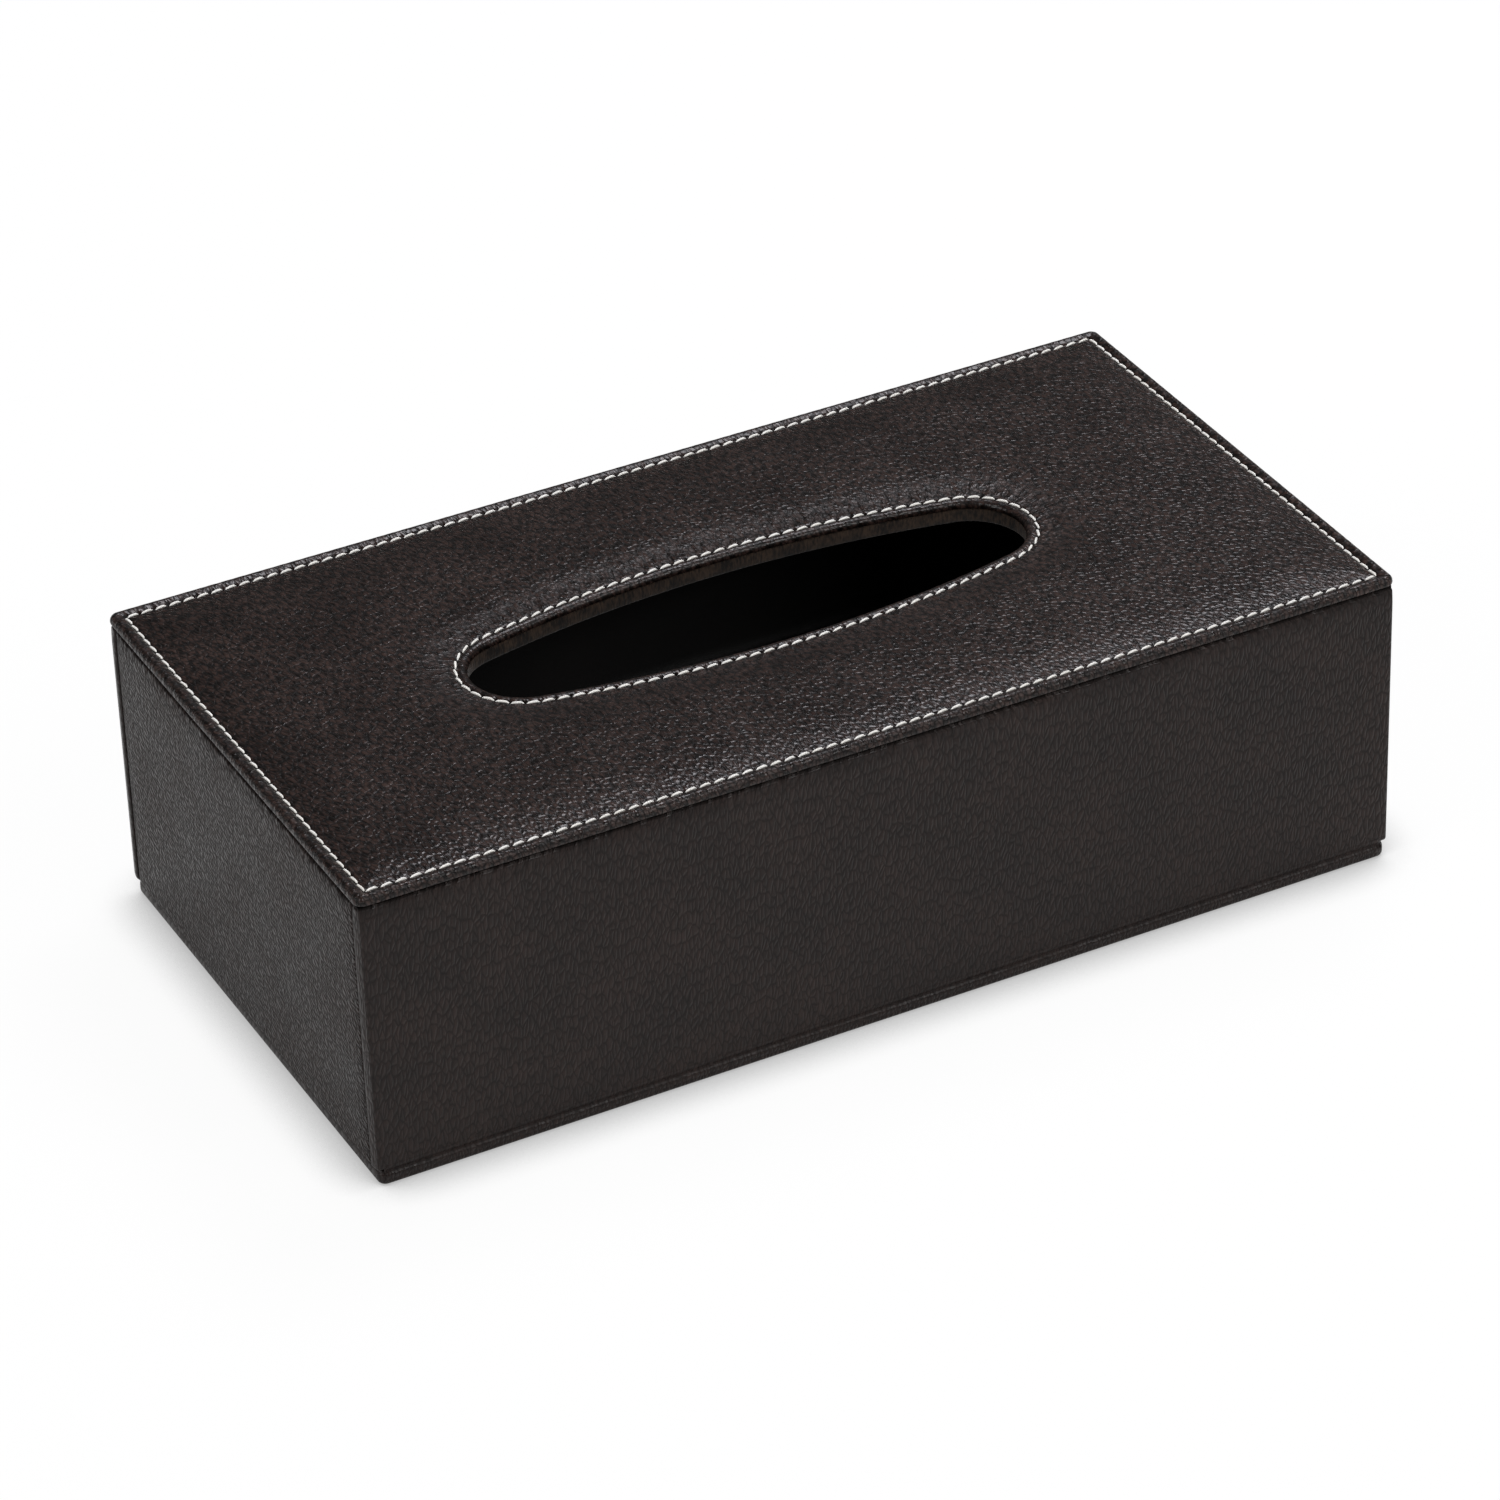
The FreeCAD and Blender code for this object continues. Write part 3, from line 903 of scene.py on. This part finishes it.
def panel_skin():
    """The leather of the padded top: hem, edge, seam, padded field, opening seam, rolled lip, hem."""
    low = (panel_bottom_round, panel_foot + panel_bottom_round)
    high = (panel_top_round, panel_top - panel_top_round)
    section = [(panel_hem, panel_foot)]
    section += arc(low, panel_bottom_round, 270, 180, bottom_round_steps)
    section += arc(high, panel_top_round, 180, 90, top_round_steps)
    section += [(inset, panel_top) for inset in margin_insets]
    rings = []
    for inset, height in section:
        line = case_line(inset, panel_steps)
        rings.append(raised(line, panel_level(height, *line.T)))
    outer = case_line(margin_insets[-1], panel_steps)
    inner = oval_line(oval_outsets[0], panel_steps)
    for row in range(1, field_rows + 1):
        part = row / (field_rows + 1)
        line = outer * (1 - part) + inner * part
        rings.append(raised(line, panel_level(panel_top, *line.T)))
    lip = [(outset, panel_top) for outset in oval_outsets]
    roll = (lip_round - lip_inset, panel_top - lip_round)
    foot = (lip_foot_round - lip_inset, panel_foot + lip_foot_round)
    lip += arc(roll, lip_round, 90, 180, lip_round_steps)
    lip += arc(foot, lip_foot_round, 180, 270, lip_foot_steps)
    lip += [(lip_hem, panel_foot)]
    for outset, height in lip:
        line = oval_line(outset, panel_steps)
        rings.append(raised(line, panel_level(height, *line.T)))
    bm = loft(rings + rings[:1])
    close(bm)
    piece = settle("top_leather_skin", bm, top_leather_finish, "cover", "leather", "top_leather")
    x, y, z = points_of(piece).T
    out, oval_along = oval_place(x, y)
    inset, edge_along, edge_count = edge_place(x, y)
    by_oval = out < oval_zone
    mark(piece, "run", np.where(by_oval, oval_along, edge_along))
    mark(piece, "across", np.where(by_oval, out, inset))
    drawn = bell(np.maximum(out - drawn_start, 0.0), drawn_reach)
    drawn = drawn * np.clip((out + drawn_edge) / drawn_fade, 0.0, 1.0)
    rolled = roll_pull * np.clip(-out / roll_reach - roll_start, 0.0, 1.0)
    shoulder = shoulder_pull * bell(np.maximum(inset - shoulder_start, 0.0), shoulder_reach)
    mark(piece, "pull", np.where(by_oval, np.maximum(drawn, rolled), shoulder))
    opening_count = oval_along / oval_run * opening_stitches
    # Painted shade: dark spots at the needle holes and a dark band along the underside of the top's edge
    painted_hole_shade = np.zeros(len(x))
    for gap, phase in ((inset - edge_seam_inset, edge_count), (out, opening_count)):
        from_hole = np.abs(phase - np.round(phase)) * stitch_pitch
        painted_hole_shade = np.maximum(painted_hole_shade, bell(gap, hole_shade_across) * bell(from_hole, hole_shade_along))
    under = np.clip((panel_foot + under_shade_height - z) / under_shade_fade, 0.0, 1.0)
    mark(piece, "painted_shade", np.maximum(painted_hole_shade, under))
    drop = np.maximum(panel_top - z, 0.0)
    on_long = half_width - np.abs(y) <= half_length - np.abs(x)
    outwards = np.where(by_oval, -1.0, 1.0) * drop
    mark_grain(
        piece,
        x + np.where(on_long | by_oval, 0.0, np.sign(x) * outwards),
        y + np.where(on_long | by_oval, np.sign(y) * outwards, 0.0),
    )
    return piece


def foam_pad():
    """The thin foam under the top's leather, pressed flat along both seams."""
    inset = half_length - pad_high.x
    lines = [case_line(inset + step, foam_steps) for step in foam_insets]
    near_oval = [oval_line(outset, foam_steps) for outset in foam_outsets]
    lines += [lines[-1] * (1 - part) + near_oval[0] * part for part in foam_field_parts]
    lines += near_oval
    rings = [raised(lines[0], pad_low.z)]
    for line in lines:
        skin_level = panel_level(panel_top, *line.T) - leather_thickness
        rings.append(raised(line, np.maximum(skin_level, pad_low.z + glue_gap)))
    rings.append(raised(lines[-1], pad_low.z))
    bm = loft(rings + rings[:1])
    close(bm)
    piece = settle("top_foam", bm, foam_finish, "cover", "foam", "top_pad")
    return piece


def stitch_shape():
    """One stitch along X: a thread that rises from its hole, lies over the leather and plunges again."""
    bm = bmesh.new()
    ring = bmesh.ops.create_circle(bm, cap_ends=True, segments=stitch_sides, radius=thread_radius)["verts"]
    bmesh.ops.rotate(bm, verts=ring, cent=(0, 0, 0), matrix=Matrix.Rotation(math.pi / 2, 3, "Y"))
    places = np.linspace(-1.0, 1.0, stitch_stations)
    thick = stitch_end_size + (1 - stitch_end_size) * (1 - places**4)
    heights = stitch_rise - (stitch_rise + stitch_plunge) * places**4
    start = Vector((places[0] * stitch_length / 2, 0.0, heights[0]))
    bmesh.ops.scale(bm, verts=ring, vec=(thick[0],) * 3)
    bmesh.ops.translate(bm, verts=ring, vec=start)
    face = bm.faces[:]
    for k in range(1, stitch_stations):
        grown = bmesh.ops.extrude_face_region(bm, geom=face)["geom"]
        if k > 1:
            bmesh.ops.delete(bm, geom=face, context="FACES_ONLY")
        face = [g for g in grown if isinstance(g, bmesh.types.BMFace)]
        ring = [g for g in grown if isinstance(g, bmesh.types.BMVert)]
        here = Vector((places[k] * stitch_length / 2, 0.0, heights[k]))
        was = Vector((places[k - 1] * stitch_length / 2, 0.0, heights[k - 1]))
        bmesh.ops.translate(bm, verts=ring, vec=here - was)
        size = thick[k] / thick[k - 1]
        bmesh.ops.scale(bm, verts=ring, vec=(1.0, size, size), space=Matrix.Translation(-here))
    close(bm)
    layer = bm.loops.layers.uv.new("thread")
    for shown in bm.faces:
        for loop in shown.loops:
            co = loop.vert.co
            along = co.x / stitch_length
            loop[layer].uv = (along, math.atan2(co.y, co.z) / (2 * math.pi))
    shape = bpy.data.meshes.new("stitch_shape")
    bm.to_mesh(shape)
    bm.free()
    return shape


def sew(name, places, node, seed):
    """A row of stitches, each at its place and heading, a little uneven as sewn ones are."""
    draw = np.random.default_rng(seed)
    shape = stitch_shape()
    bm = bmesh.new()
    for x, y, heading in places:
        before = len(bm.verts)
        bm.from_mesh(shape)
        bm.verts.ensure_lookup_table()
        fresh = bm.verts[before:]
        slant = heading + stitch_slant + math.radians(draw.normal(0.0, slant_spread))
        longer = 1.0 + draw.normal(0.0, length_spread)
        thicker = 1.0 + draw.normal(0.0, thickness_spread)
        size = Matrix.Diagonal((longer, thicker, 1.0, 1.0))
        level = float(panel_level(panel_top, np.array([x]), np.array([y]))[0])
        place = Matrix.Translation((x, y, level)) @ Matrix.Rotation(slant, 4, "Z") @ size
        bmesh.ops.transform(bm, matrix=place, verts=fresh)
    bpy.data.meshes.remove(shape)
    return settle(name, bm, thread_finish, "cover", "thread", node)


def edge_seam():
    """Stitches round the top, one side after another."""
    corners = ((-seam_x, -seam_y), (seam_x, -seam_y), (seam_x, seam_y), (-seam_x, seam_y))
    places = []
    for k, (x0, y0) in enumerate(corners):
        x1, y1 = corners[(k + 1) % 4]
        count = long_stitches if k % 2 == 0 else short_stitches
        heading = math.atan2(y1 - y0, x1 - x0)
        for n in range(count):
            part = (n + 0.5) / count
            places.append((x0 + (x1 - x0) * part, y0 + (y1 - y0) * part, heading))
    return sew("edge_seam_stitches", places, "edge_stitching", edge_seam_seed)


def opening_seam():
    """Stitches round the opening."""
    line = oval_line(0.0, (seam_line_steps, 0, 0))
    runs = oval_place(*line.T)[1]
    order = np.argsort(runs)
    loop = np.concatenate((line[order], line[order][:1]))
    at = np.concatenate((runs[order], [oval_run]))
    places = []
    step = oval_run / opening_stitches
    for n in range(opening_stitches):
        middle = (n + 0.5) * step
        spots = (middle - stitch_reach * step, middle, middle + stitch_reach * step)
        ax, x, bx = np.interp(spots, at, loop[:, 0])
        ay, y, by = np.interp(spots, at, loop[:, 1])
        places.append((x, y, math.atan2(by - ay, bx - ax)))
    return sew("opening_seam_stitches", places, "opening_stitching", opening_seam_seed)


def opening_band():
    """The suede band down the opening's wall."""
    top = panel_foot - glue_gap
    bend = top - band_top_round
    foot = ceiling_low.z + band_foot_round
    section = [(band_turnover, top), (band_flat, top)]
    section += arc((band_top_round, bend), band_top_round, 90, 180, hem_steps)
    for k in range(1, band_face_rows):
        part = k / band_face_rows
        section.append((-band_bulge * math.sin(math.pi * part), bend - band_face * part))
    section += arc((band_foot_round, foot), band_foot_round, 180, 270, hem_steps)
    section += [(band_foot_turn, ceiling_low.z)]
    rings = [raised(oval_line(outset - band_setback, band_steps), height) for outset, height in section]
    bm = loft(rings)
    close(bm)
    node = "opening_lining"
    piece = settle("opening_suede_band", bm, suede_finish, "cover", "suede", node, thickness=band_skin)
    return piece


# Wall leathers

def wall_section():
    """A wall leather's section from its turned-in top to its hem inside, as pairs of depth and height."""
    low_angle, high_angle = wall_top_angles
    round_depth = wall_lean + wall_top_round * math.cos(math.radians(low_angle))
    round_height = wall_top - slot_height - wall_top_round * math.sin(math.radians(high_angle))
    centre = (round_depth, round_height)
    crest = arc(centre, wall_top_round, 180 - high_angle, 180 - low_angle, crest_steps)
    slot_depth = crest[0][0]
    section = [(wall_turn_in, wall_top - glue_gap), (slot_depth, wall_top - glue_gap)]
    section += crest
    lean_top = crest[-1][1]
    upper = lean_top - wall_lean_height
    for part in np.linspace(1.0, 0.0, lean_rows + 1)[1:]:
        section.append((wall_lean * part**2, upper + wall_lean_height * part))
    lower = wall_foot + wall_edge_round
    section += [(0.0, z) for z in np.linspace(upper, lower, face_rows + 1)[1:-1]]
    section += arc((wall_edge_round, lower), wall_edge_round, 180, 270, foot_steps)
    fold = (wall_hem_face - wall_hem_round, wall_foot + wall_hem_round)
    section += arc(fold, wall_hem_round, 270, 360, hem_steps)
    section += [(wall_hem_face, z) for z in np.linspace(wall_foot + hem_start, wall_hem_top, hem_rows)]
    return section


def long_line(depth, side):
    """The line of a front or back leather at a depth: end flap, bend, face, bend, end flap."""
    turn = max(corner_round - depth, least_round)
    x_face = half_length - depth
    y_face = half_width - depth
    y_bend = y_face - turn
    y_end = min(flap_end, y_bend)
    part = np.linspace(0.0, 1.0, flap_steps + 1)[:-1]
    flap_y = y_end + (y_bend - y_end) * part
    free = max(1 - depth / board_depth, 0.0)
    lean = flap_lean * free
    flap_x = x_face - tuck_depth * free * bell(flap_y - y_end, tuck_reach) - lean * part**2
    right = list(zip(flap_x, flap_y))
    right += arc((x_face - lean - turn, y_bend), turn, 0, 90, corner_steps)
    left = [(-x, y) for x, y in right]
    face_end = x_face - lean - turn
    face = [(x, y_face) for x in np.linspace(face_end, -face_end, long_face_steps + 1)[1:-1]]
    line = np.array(right + face + left[::-1])
    line[:, 1] *= side
    return line


def short_line(depth, side):
    """The line of a left or right leather at a depth, tucked in where it meets its neighbours."""
    y_end = min(short_end, half_width - depth)
    y_inner = y_end - short_end_width
    y = np.concatenate((
        np.linspace(-y_end, -y_inner, short_end_steps + 1)[:-1],
        np.linspace(-y_inner, y_inner, short_face_steps + 1),
        np.linspace(y_inner, y_end, short_end_steps + 1)[1:],
    ))
    free = max(1 - depth / board_depth, 0.0)
    from_end = y_end - np.abs(y)
    near_end = np.clip(1 - from_end / end_lean_width, 0.0, 1.0)
    sunk = tuck_depth * bell(from_end, tuck_reach) + end_lean * near_end**2
    x = half_length - depth - free * sunk
    return np.column_stack((x * side, y))


def wall_leather(name, node, line_at, side, outward):
    """A wall's leather, wrapped over its board's edges and hemmed inside at its foot."""
    bm = lay([raised(line_at(depth, side), height) for depth, height in wall_section()])
    turn_out(bm, outward)
    along_x = abs(outward[1]) > 0
    finish = long_wall_finish if along_x else short_wall_finish
    piece = settle(name, bm, finish, "cover", "leather", node, thickness=wall_skin)
    x, y, z = points_of(piece).T
    run = x + np.sign(x) * (half_width - np.abs(y)) if along_x else y
    inward = half_width - np.abs(y) if along_x else half_length - np.abs(x)
    on_face = np.abs(x) < half_length - corner_round if along_x else np.abs(y) < half_width
    mark_grain(piece, run, z - np.where(on_face, inward, 0.0))
    mark(piece, "run", run)
    mark(piece, "across", z)
    below_slot = np.maximum(wall_top - slot_height - z, 0.0)
    at_foot = foot_pull * bell(z - wall_foot, wall_pull_reach)
    mark(piece, "pull", np.maximum(bell(below_slot, wall_pull_reach), at_foot))
    # Painted shade: the wall's crest and turn-in inside the slot under the top are near black
    mark(piece, "painted_shade", np.clip((z - wall_top + slot_height + slot_shade_edge) / slot_shade_fade, 0.0, 1.0))
    return piece


# The base

def upper_face(bm):
    """The largest of the highest faces."""
    return max(bm.faces, key=lambda face: (round(face.calc_center_median().z, 6), face.calc_area()))


def base_skin():
    """The base's leather: a thin rounded slab, sunk on top where the lining lies."""
    bm = bmesh.new()
    bmesh.ops.create_cube(bm, size=1.0)
    size = base_high - base_low
    middle = (base_high + base_low) / 2
    bmesh.ops.scale(bm, verts=bm.verts, vec=size)
    bmesh.ops.translate(bm, verts=bm.verts, vec=middle)
    upright = [e for e in bm.edges if abs(e.verts[0].co.z - e.verts[1].co.z) > size.z / 2]
    rounding = {"offset_type": "OFFSET", "affect": "EDGES", "profile": 0.5, "material": -1}
    bmesh.ops.bevel(bm, geom=upright, offset=base_corner_round, segments=base_corner_steps, **rounding)
    rim = [e for e in bm.edges if abs(e.verts[0].co.z - e.verts[1].co.z) < size.z / 4]
    bmesh.ops.bevel(bm, geom=rim, offset=base_edge_round, segments=base_edge_steps, **rounding)
    lid = upper_face(bm)
    hem = base_high.x - base_lining_high.x
    bmesh.ops.inset_region(bm, faces=[lid], thickness=hem - base_edge_round, depth=0.0)
    for vert in lid.verts:
        vert.co.x = min(max(vert.co.x, base_low.x + hem), base_high.x - hem)
        vert.co.y = min(max(vert.co.y, base_low.y + hem), base_high.y - hem)
    weld(bm)
    bmesh.ops.inset_region(bm, faces=[upper_face(bm)], thickness=base_well_slope, depth=-base_well_depth)
    close(bm)
    node = "base_leather"
    piece = settle("base_leather_skin", bm, long_wall_finish, "base_flap", "leather", node, sharp=sharp_angle)
    x, y, z = points_of(piece).T
    mark_grain(piece, x + base_grain_lean * y, y + z)
    mark(piece, "run", x)
    mark(piece, "across", z)
    mark(piece, "pull", np.zeros(len(x)))
    mark(piece, "painted_shade", np.zeros(len(x)))
    return piece


def hinge_leather():
    """The soft strip that joins the front wall's foot to the base's front edge."""
    across = np.linspace(-fold_high.x, fold_high.x, hinge_steps + 1)
    rows = []
    for sink, height in hinge_fold_line:
        level = np.full(len(across), sink - half_width - hinge_face_gap)
        rows.append(raised(np.column_stack((across, level)), height))
    bm = lay(rows)
    turn_out(bm, (0.0, -1.0, 0.0))
    piece = settle("hinge_leather", bm, long_wall_finish, None, "leather", "hinge_fold", thickness=hinge_skin)
    x, _, z = points_of(piece).T
    mark_grain(piece, x, z)
    mark(piece, "run", x)
    mark(piece, "across", z)
    mark(piece, "pull", hinge_pull * bell(z - hinge_pull_height, hinge_pull_reach))
    mark(piece, "painted_shade", np.zeros(len(x)))
    return piece


# Linings

def lining(name, node, body, inward):
    """A cloth lining, cut as a grid and stretched over its board, with its edges turned down."""
    low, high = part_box(node)
    axis = max(range(3), key=lambda k: abs(inward[k]))
    spread = [k for k in range(3) if k != axis]
    span = [high[k] - low[k] for k in spread]
    count = [max(lining_least_steps, int(length / lining_step)) for length in span]
    bm = bmesh.new()
    bmesh.ops.create_grid(bm, x_segments=count[0], y_segments=count[1], size=0.5)
    shown = high[axis] if inward[axis] > 0 else low[axis]
    thickness = high[axis] - low[axis]
    for vert in bm.verts:
        a, b = vert.co.xy
        place = [0.0, 0.0, 0.0]
        for k, part, length in zip(spread, (a, b), span):
            place[k] = (low[k] + high[k]) / 2 + part * (length - 2 * glue_gap)
        edge = min((0.5 - abs(a)) * span[0], (0.5 - abs(b)) * span[1])
        uneven = lining_uneven * float(swell(a * span[0], b * span[1], lining_waves, lining_seed))
        sink = thickness * lining_edge_sink * float(bell(edge, lining_edge_reach)) + lining_sink - uneven
        place[axis] = shown - math.copysign(sink, inward[axis])
        vert.co = place
    turn_out(bm, inward)
    piece = settle(name, bm, velvet_finish, body, "velvet", node, thickness=thickness * lining_skin)
    return piece


def ceiling_lining():
    """The lining under the top board, cut out round the opening."""
    half = (ceiling_high.x - glue_gap, ceiling_high.y - glue_gap)
    outer = case_line(0.0, ceiling_steps, plan_round=least_round, half=half)
    inner = oval_line(0.0, ceiling_steps)
    lines = [outer * (1 - part) + inner * part for part in np.linspace(0.0, 1.0, ceiling_rows)]
    rings = [raised(line, ceiling_low.z + ceiling_gap) for line in lines]
    bm = loft(rings)
    turn_out(bm, (0.0, 0.0, -1.0))
    node = "top_lining"
    piece = settle("ceiling_velvet", bm, velvet_finish, "cover", "velvet", node, thickness=ceiling_skin)
    return piece


# All the pieces

panel_skin()
foam_pad()
edge_seam()
opening_seam()
opening_band()
wall_leather("front_leather_skin", "front_leather", long_line, -1.0, (0.0, -1.0, 0.0))
wall_leather("back_leather_skin", "back_leather", long_line, 1.0, (0.0, 1.0, 0.0))
wall_leather("left_leather_skin", "left_leather", short_line, -1.0, (-1.0, 0.0, 0.0))
wall_leather("right_leather_skin", "right_leather", short_line, 1.0, (1.0, 0.0, 0.0))
base_skin()
strip = hinge_leather()
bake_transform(strip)
lining("front_velvet", "front_lining", "cover", (0.0, 1.0, 0.0))
lining("back_velvet", "back_lining", "cover", (0.0, -1.0, 0.0))
lining("left_velvet", "left_lining", "cover", (1.0, 0.0, 0.0))
lining("right_velvet", "right_lining", "cover", (-1.0, 0.0, 0.0))
lining("base_velvet", "base_lining", "base_flap", (0.0, 0.0, 1.0))
ceiling_lining()

boards = ("base_board", "top_board", "front_board", "back_board", "left_board", "right_board")
hard_finishes = {board: board_finish for board in boards}
hard_finishes["closure_magnets"] = magnet_finish
hard_finishes["keeper_plates"] = keeper_finish
for node, finish in hard_finishes.items():
    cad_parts[node].data.materials.clear()
    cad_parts[node].data.materials.append(finish)


# Floor, light and camera

floor_half = 6.0
floor_parts = 8
floor_paint = (0.94, 0.94, 0.94, 1.0)
floor_white = (1.0, 1.0, 1.0, 1.0)
floor_glow_part = 0.95
# Painted contact shadow on the floor: how far it reaches and how it dims the glow
shade_reach = 0.017
shade_samples = 8
shade_range = (0.35, 0.92)
shade_levels = (0.48, 1.0)


def white_floor():
    """A pale floor that glows white to camera and reflected rays, with a painted contact shadow by the case
    and a little of its real shadow.
    """
    finish = bpy.data.materials.new("white_floor")
    finish.use_nodes = True
    tree = finish.node_tree
    tree.nodes.clear()
    path = add(tree, "ShaderNodeLightPath", {})
    seen = sums(tree, "MAXIMUM", path.outputs["Is Camera Ray"], path.outputs["Is Glossy Ray"])
    seen = sums(tree, "MAXIMUM", seen, path.outputs["Is Transmission Ray"])
    paint = add(tree, "ShaderNodeBsdfDiffuse", {"Color": floor_paint}).outputs[0]
    # Painted contact shadow: the glow dims where ambient occlusion finds the case near
    inputs = {"Distance": shade_reach}
    near = add(tree, "ShaderNodeAmbientOcclusion", inputs, samples=shade_samples).outputs["AO"]
    inputs = {"Color": floor_white, "Strength": ramp(tree, near, *shade_range, *shade_levels)}
    glow = add(tree, "ShaderNodeEmission", inputs).outputs[0]
    inputs = {0: sums(tree, "MULTIPLY", seen, floor_glow_part), 1: paint, 2: glow}
    mix = add(tree, "ShaderNodeMixShader", inputs).outputs[0]
    add(tree, "ShaderNodeOutputMaterial", {"Surface": mix})
    return finish


bm = bmesh.new()
bmesh.ops.create_grid(bm, x_segments=floor_parts, y_segments=floor_parts, size=floor_half)
floor_mesh = bpy.data.meshes.new("floor")
bm.to_mesh(floor_mesh)
bm.free()
floor_mesh.materials.append(white_floor())
floor = bpy.data.objects.new("floor", floor_mesh)
bpy.context.scene.collection.objects.link(floor)


def softbox(name, place, aim, size, power, colour=(1.0, 1.0, 1.0)):
    """A rectangular studio light turned towards a point."""
    lamp = bpy.data.lights.new(name, "AREA")
    lamp.shape = "RECTANGLE"
    lamp.size, lamp.size_y = size
    lamp.energy = power
    lamp.color = colour
    holder = bpy.data.objects.new(name, lamp)
    holder.location = place
    holder.rotation_euler = (Vector(aim) - Vector(place)).to_track_quat("-Z", "Y").to_euler()
    bpy.context.scene.collection.objects.link(holder)


light_aim = (0.0, 0.0, 0.05)
back_light_place = (1.06, 0.83, 2.23)
back_light_size = (1.15, 0.95)
back_light_power = 42.0
back_light_colour = (0.96, 0.95, 1.0)
left_light_place = (-3.0, -0.4, 1.80)
left_light_size = (1.8, 2.4)
left_light_power = 46.0
front_light_place = (1.25, -2.75, 2.50)
front_light_size = (2.5, 1.9)
front_light_power = 78.0
sky_colour = (1.0, 1.0, 1.0, 1.0)
sky_span = (0.0, 0.25)
sky_levels = (0.15, 0.13)

softbox("back_softbox", back_light_place, light_aim, back_light_size, back_light_power, back_light_colour)
softbox("left_softbox", left_light_place, light_aim, left_light_size, left_light_power)
softbox("front_softbox", front_light_place, light_aim, front_light_size, front_light_power)

world = bpy.data.worlds.new("studio")
world.use_nodes = True
sky = world.node_tree
sky.nodes.clear()
direction = add(sky, "ShaderNodeTexCoord", {}).outputs["Generated"]
upward = add(sky, "ShaderNodeSeparateXYZ", {0: direction}).outputs["Z"]
sky_inputs = {"Color": sky_colour, "Strength": ramp(sky, upward, *sky_span, *sky_levels)}
background = add(sky, "ShaderNodeBackground", sky_inputs).outputs[0]
add(sky, "ShaderNodeOutputWorld", {"Surface": background})
bpy.context.scene.world = world

eye = Vector((-0.5368, -1.0632, 0.7987))
heading = math.radians(26.725)
look_down = math.radians(32.749)
roll = math.radians(1.996)
sensor_width = 36.0
lens_length = 153.31
sight_limit = 20.0
level_ahead = Vector((math.sin(heading), math.cos(heading), 0.0))
ahead = level_ahead * math.cos(look_down) - Vector((0.0, 0.0, math.sin(look_down)))
level_right = ahead.cross(Vector((0.0, 0.0, 1.0))).normalized()
level_down = ahead.cross(level_right)
right = level_right * math.cos(roll) + level_down * math.sin(roll)
up = level_right * math.sin(roll) - level_down * math.cos(roll)
camera = bpy.data.objects.new("camera", bpy.data.cameras.new("camera"))
camera.data.sensor_width = sensor_width
camera.data.lens = lens_length
camera.data.clip_end = sight_limit
camera.matrix_world = Matrix.Translation(eye) @ Matrix((right, up, -ahead)).transposed().to_4x4()
bpy.context.scene.collection.objects.link(camera)
bpy.context.scene.camera = camera
bpy.context.scene.view_settings.view_transform = "Standard"
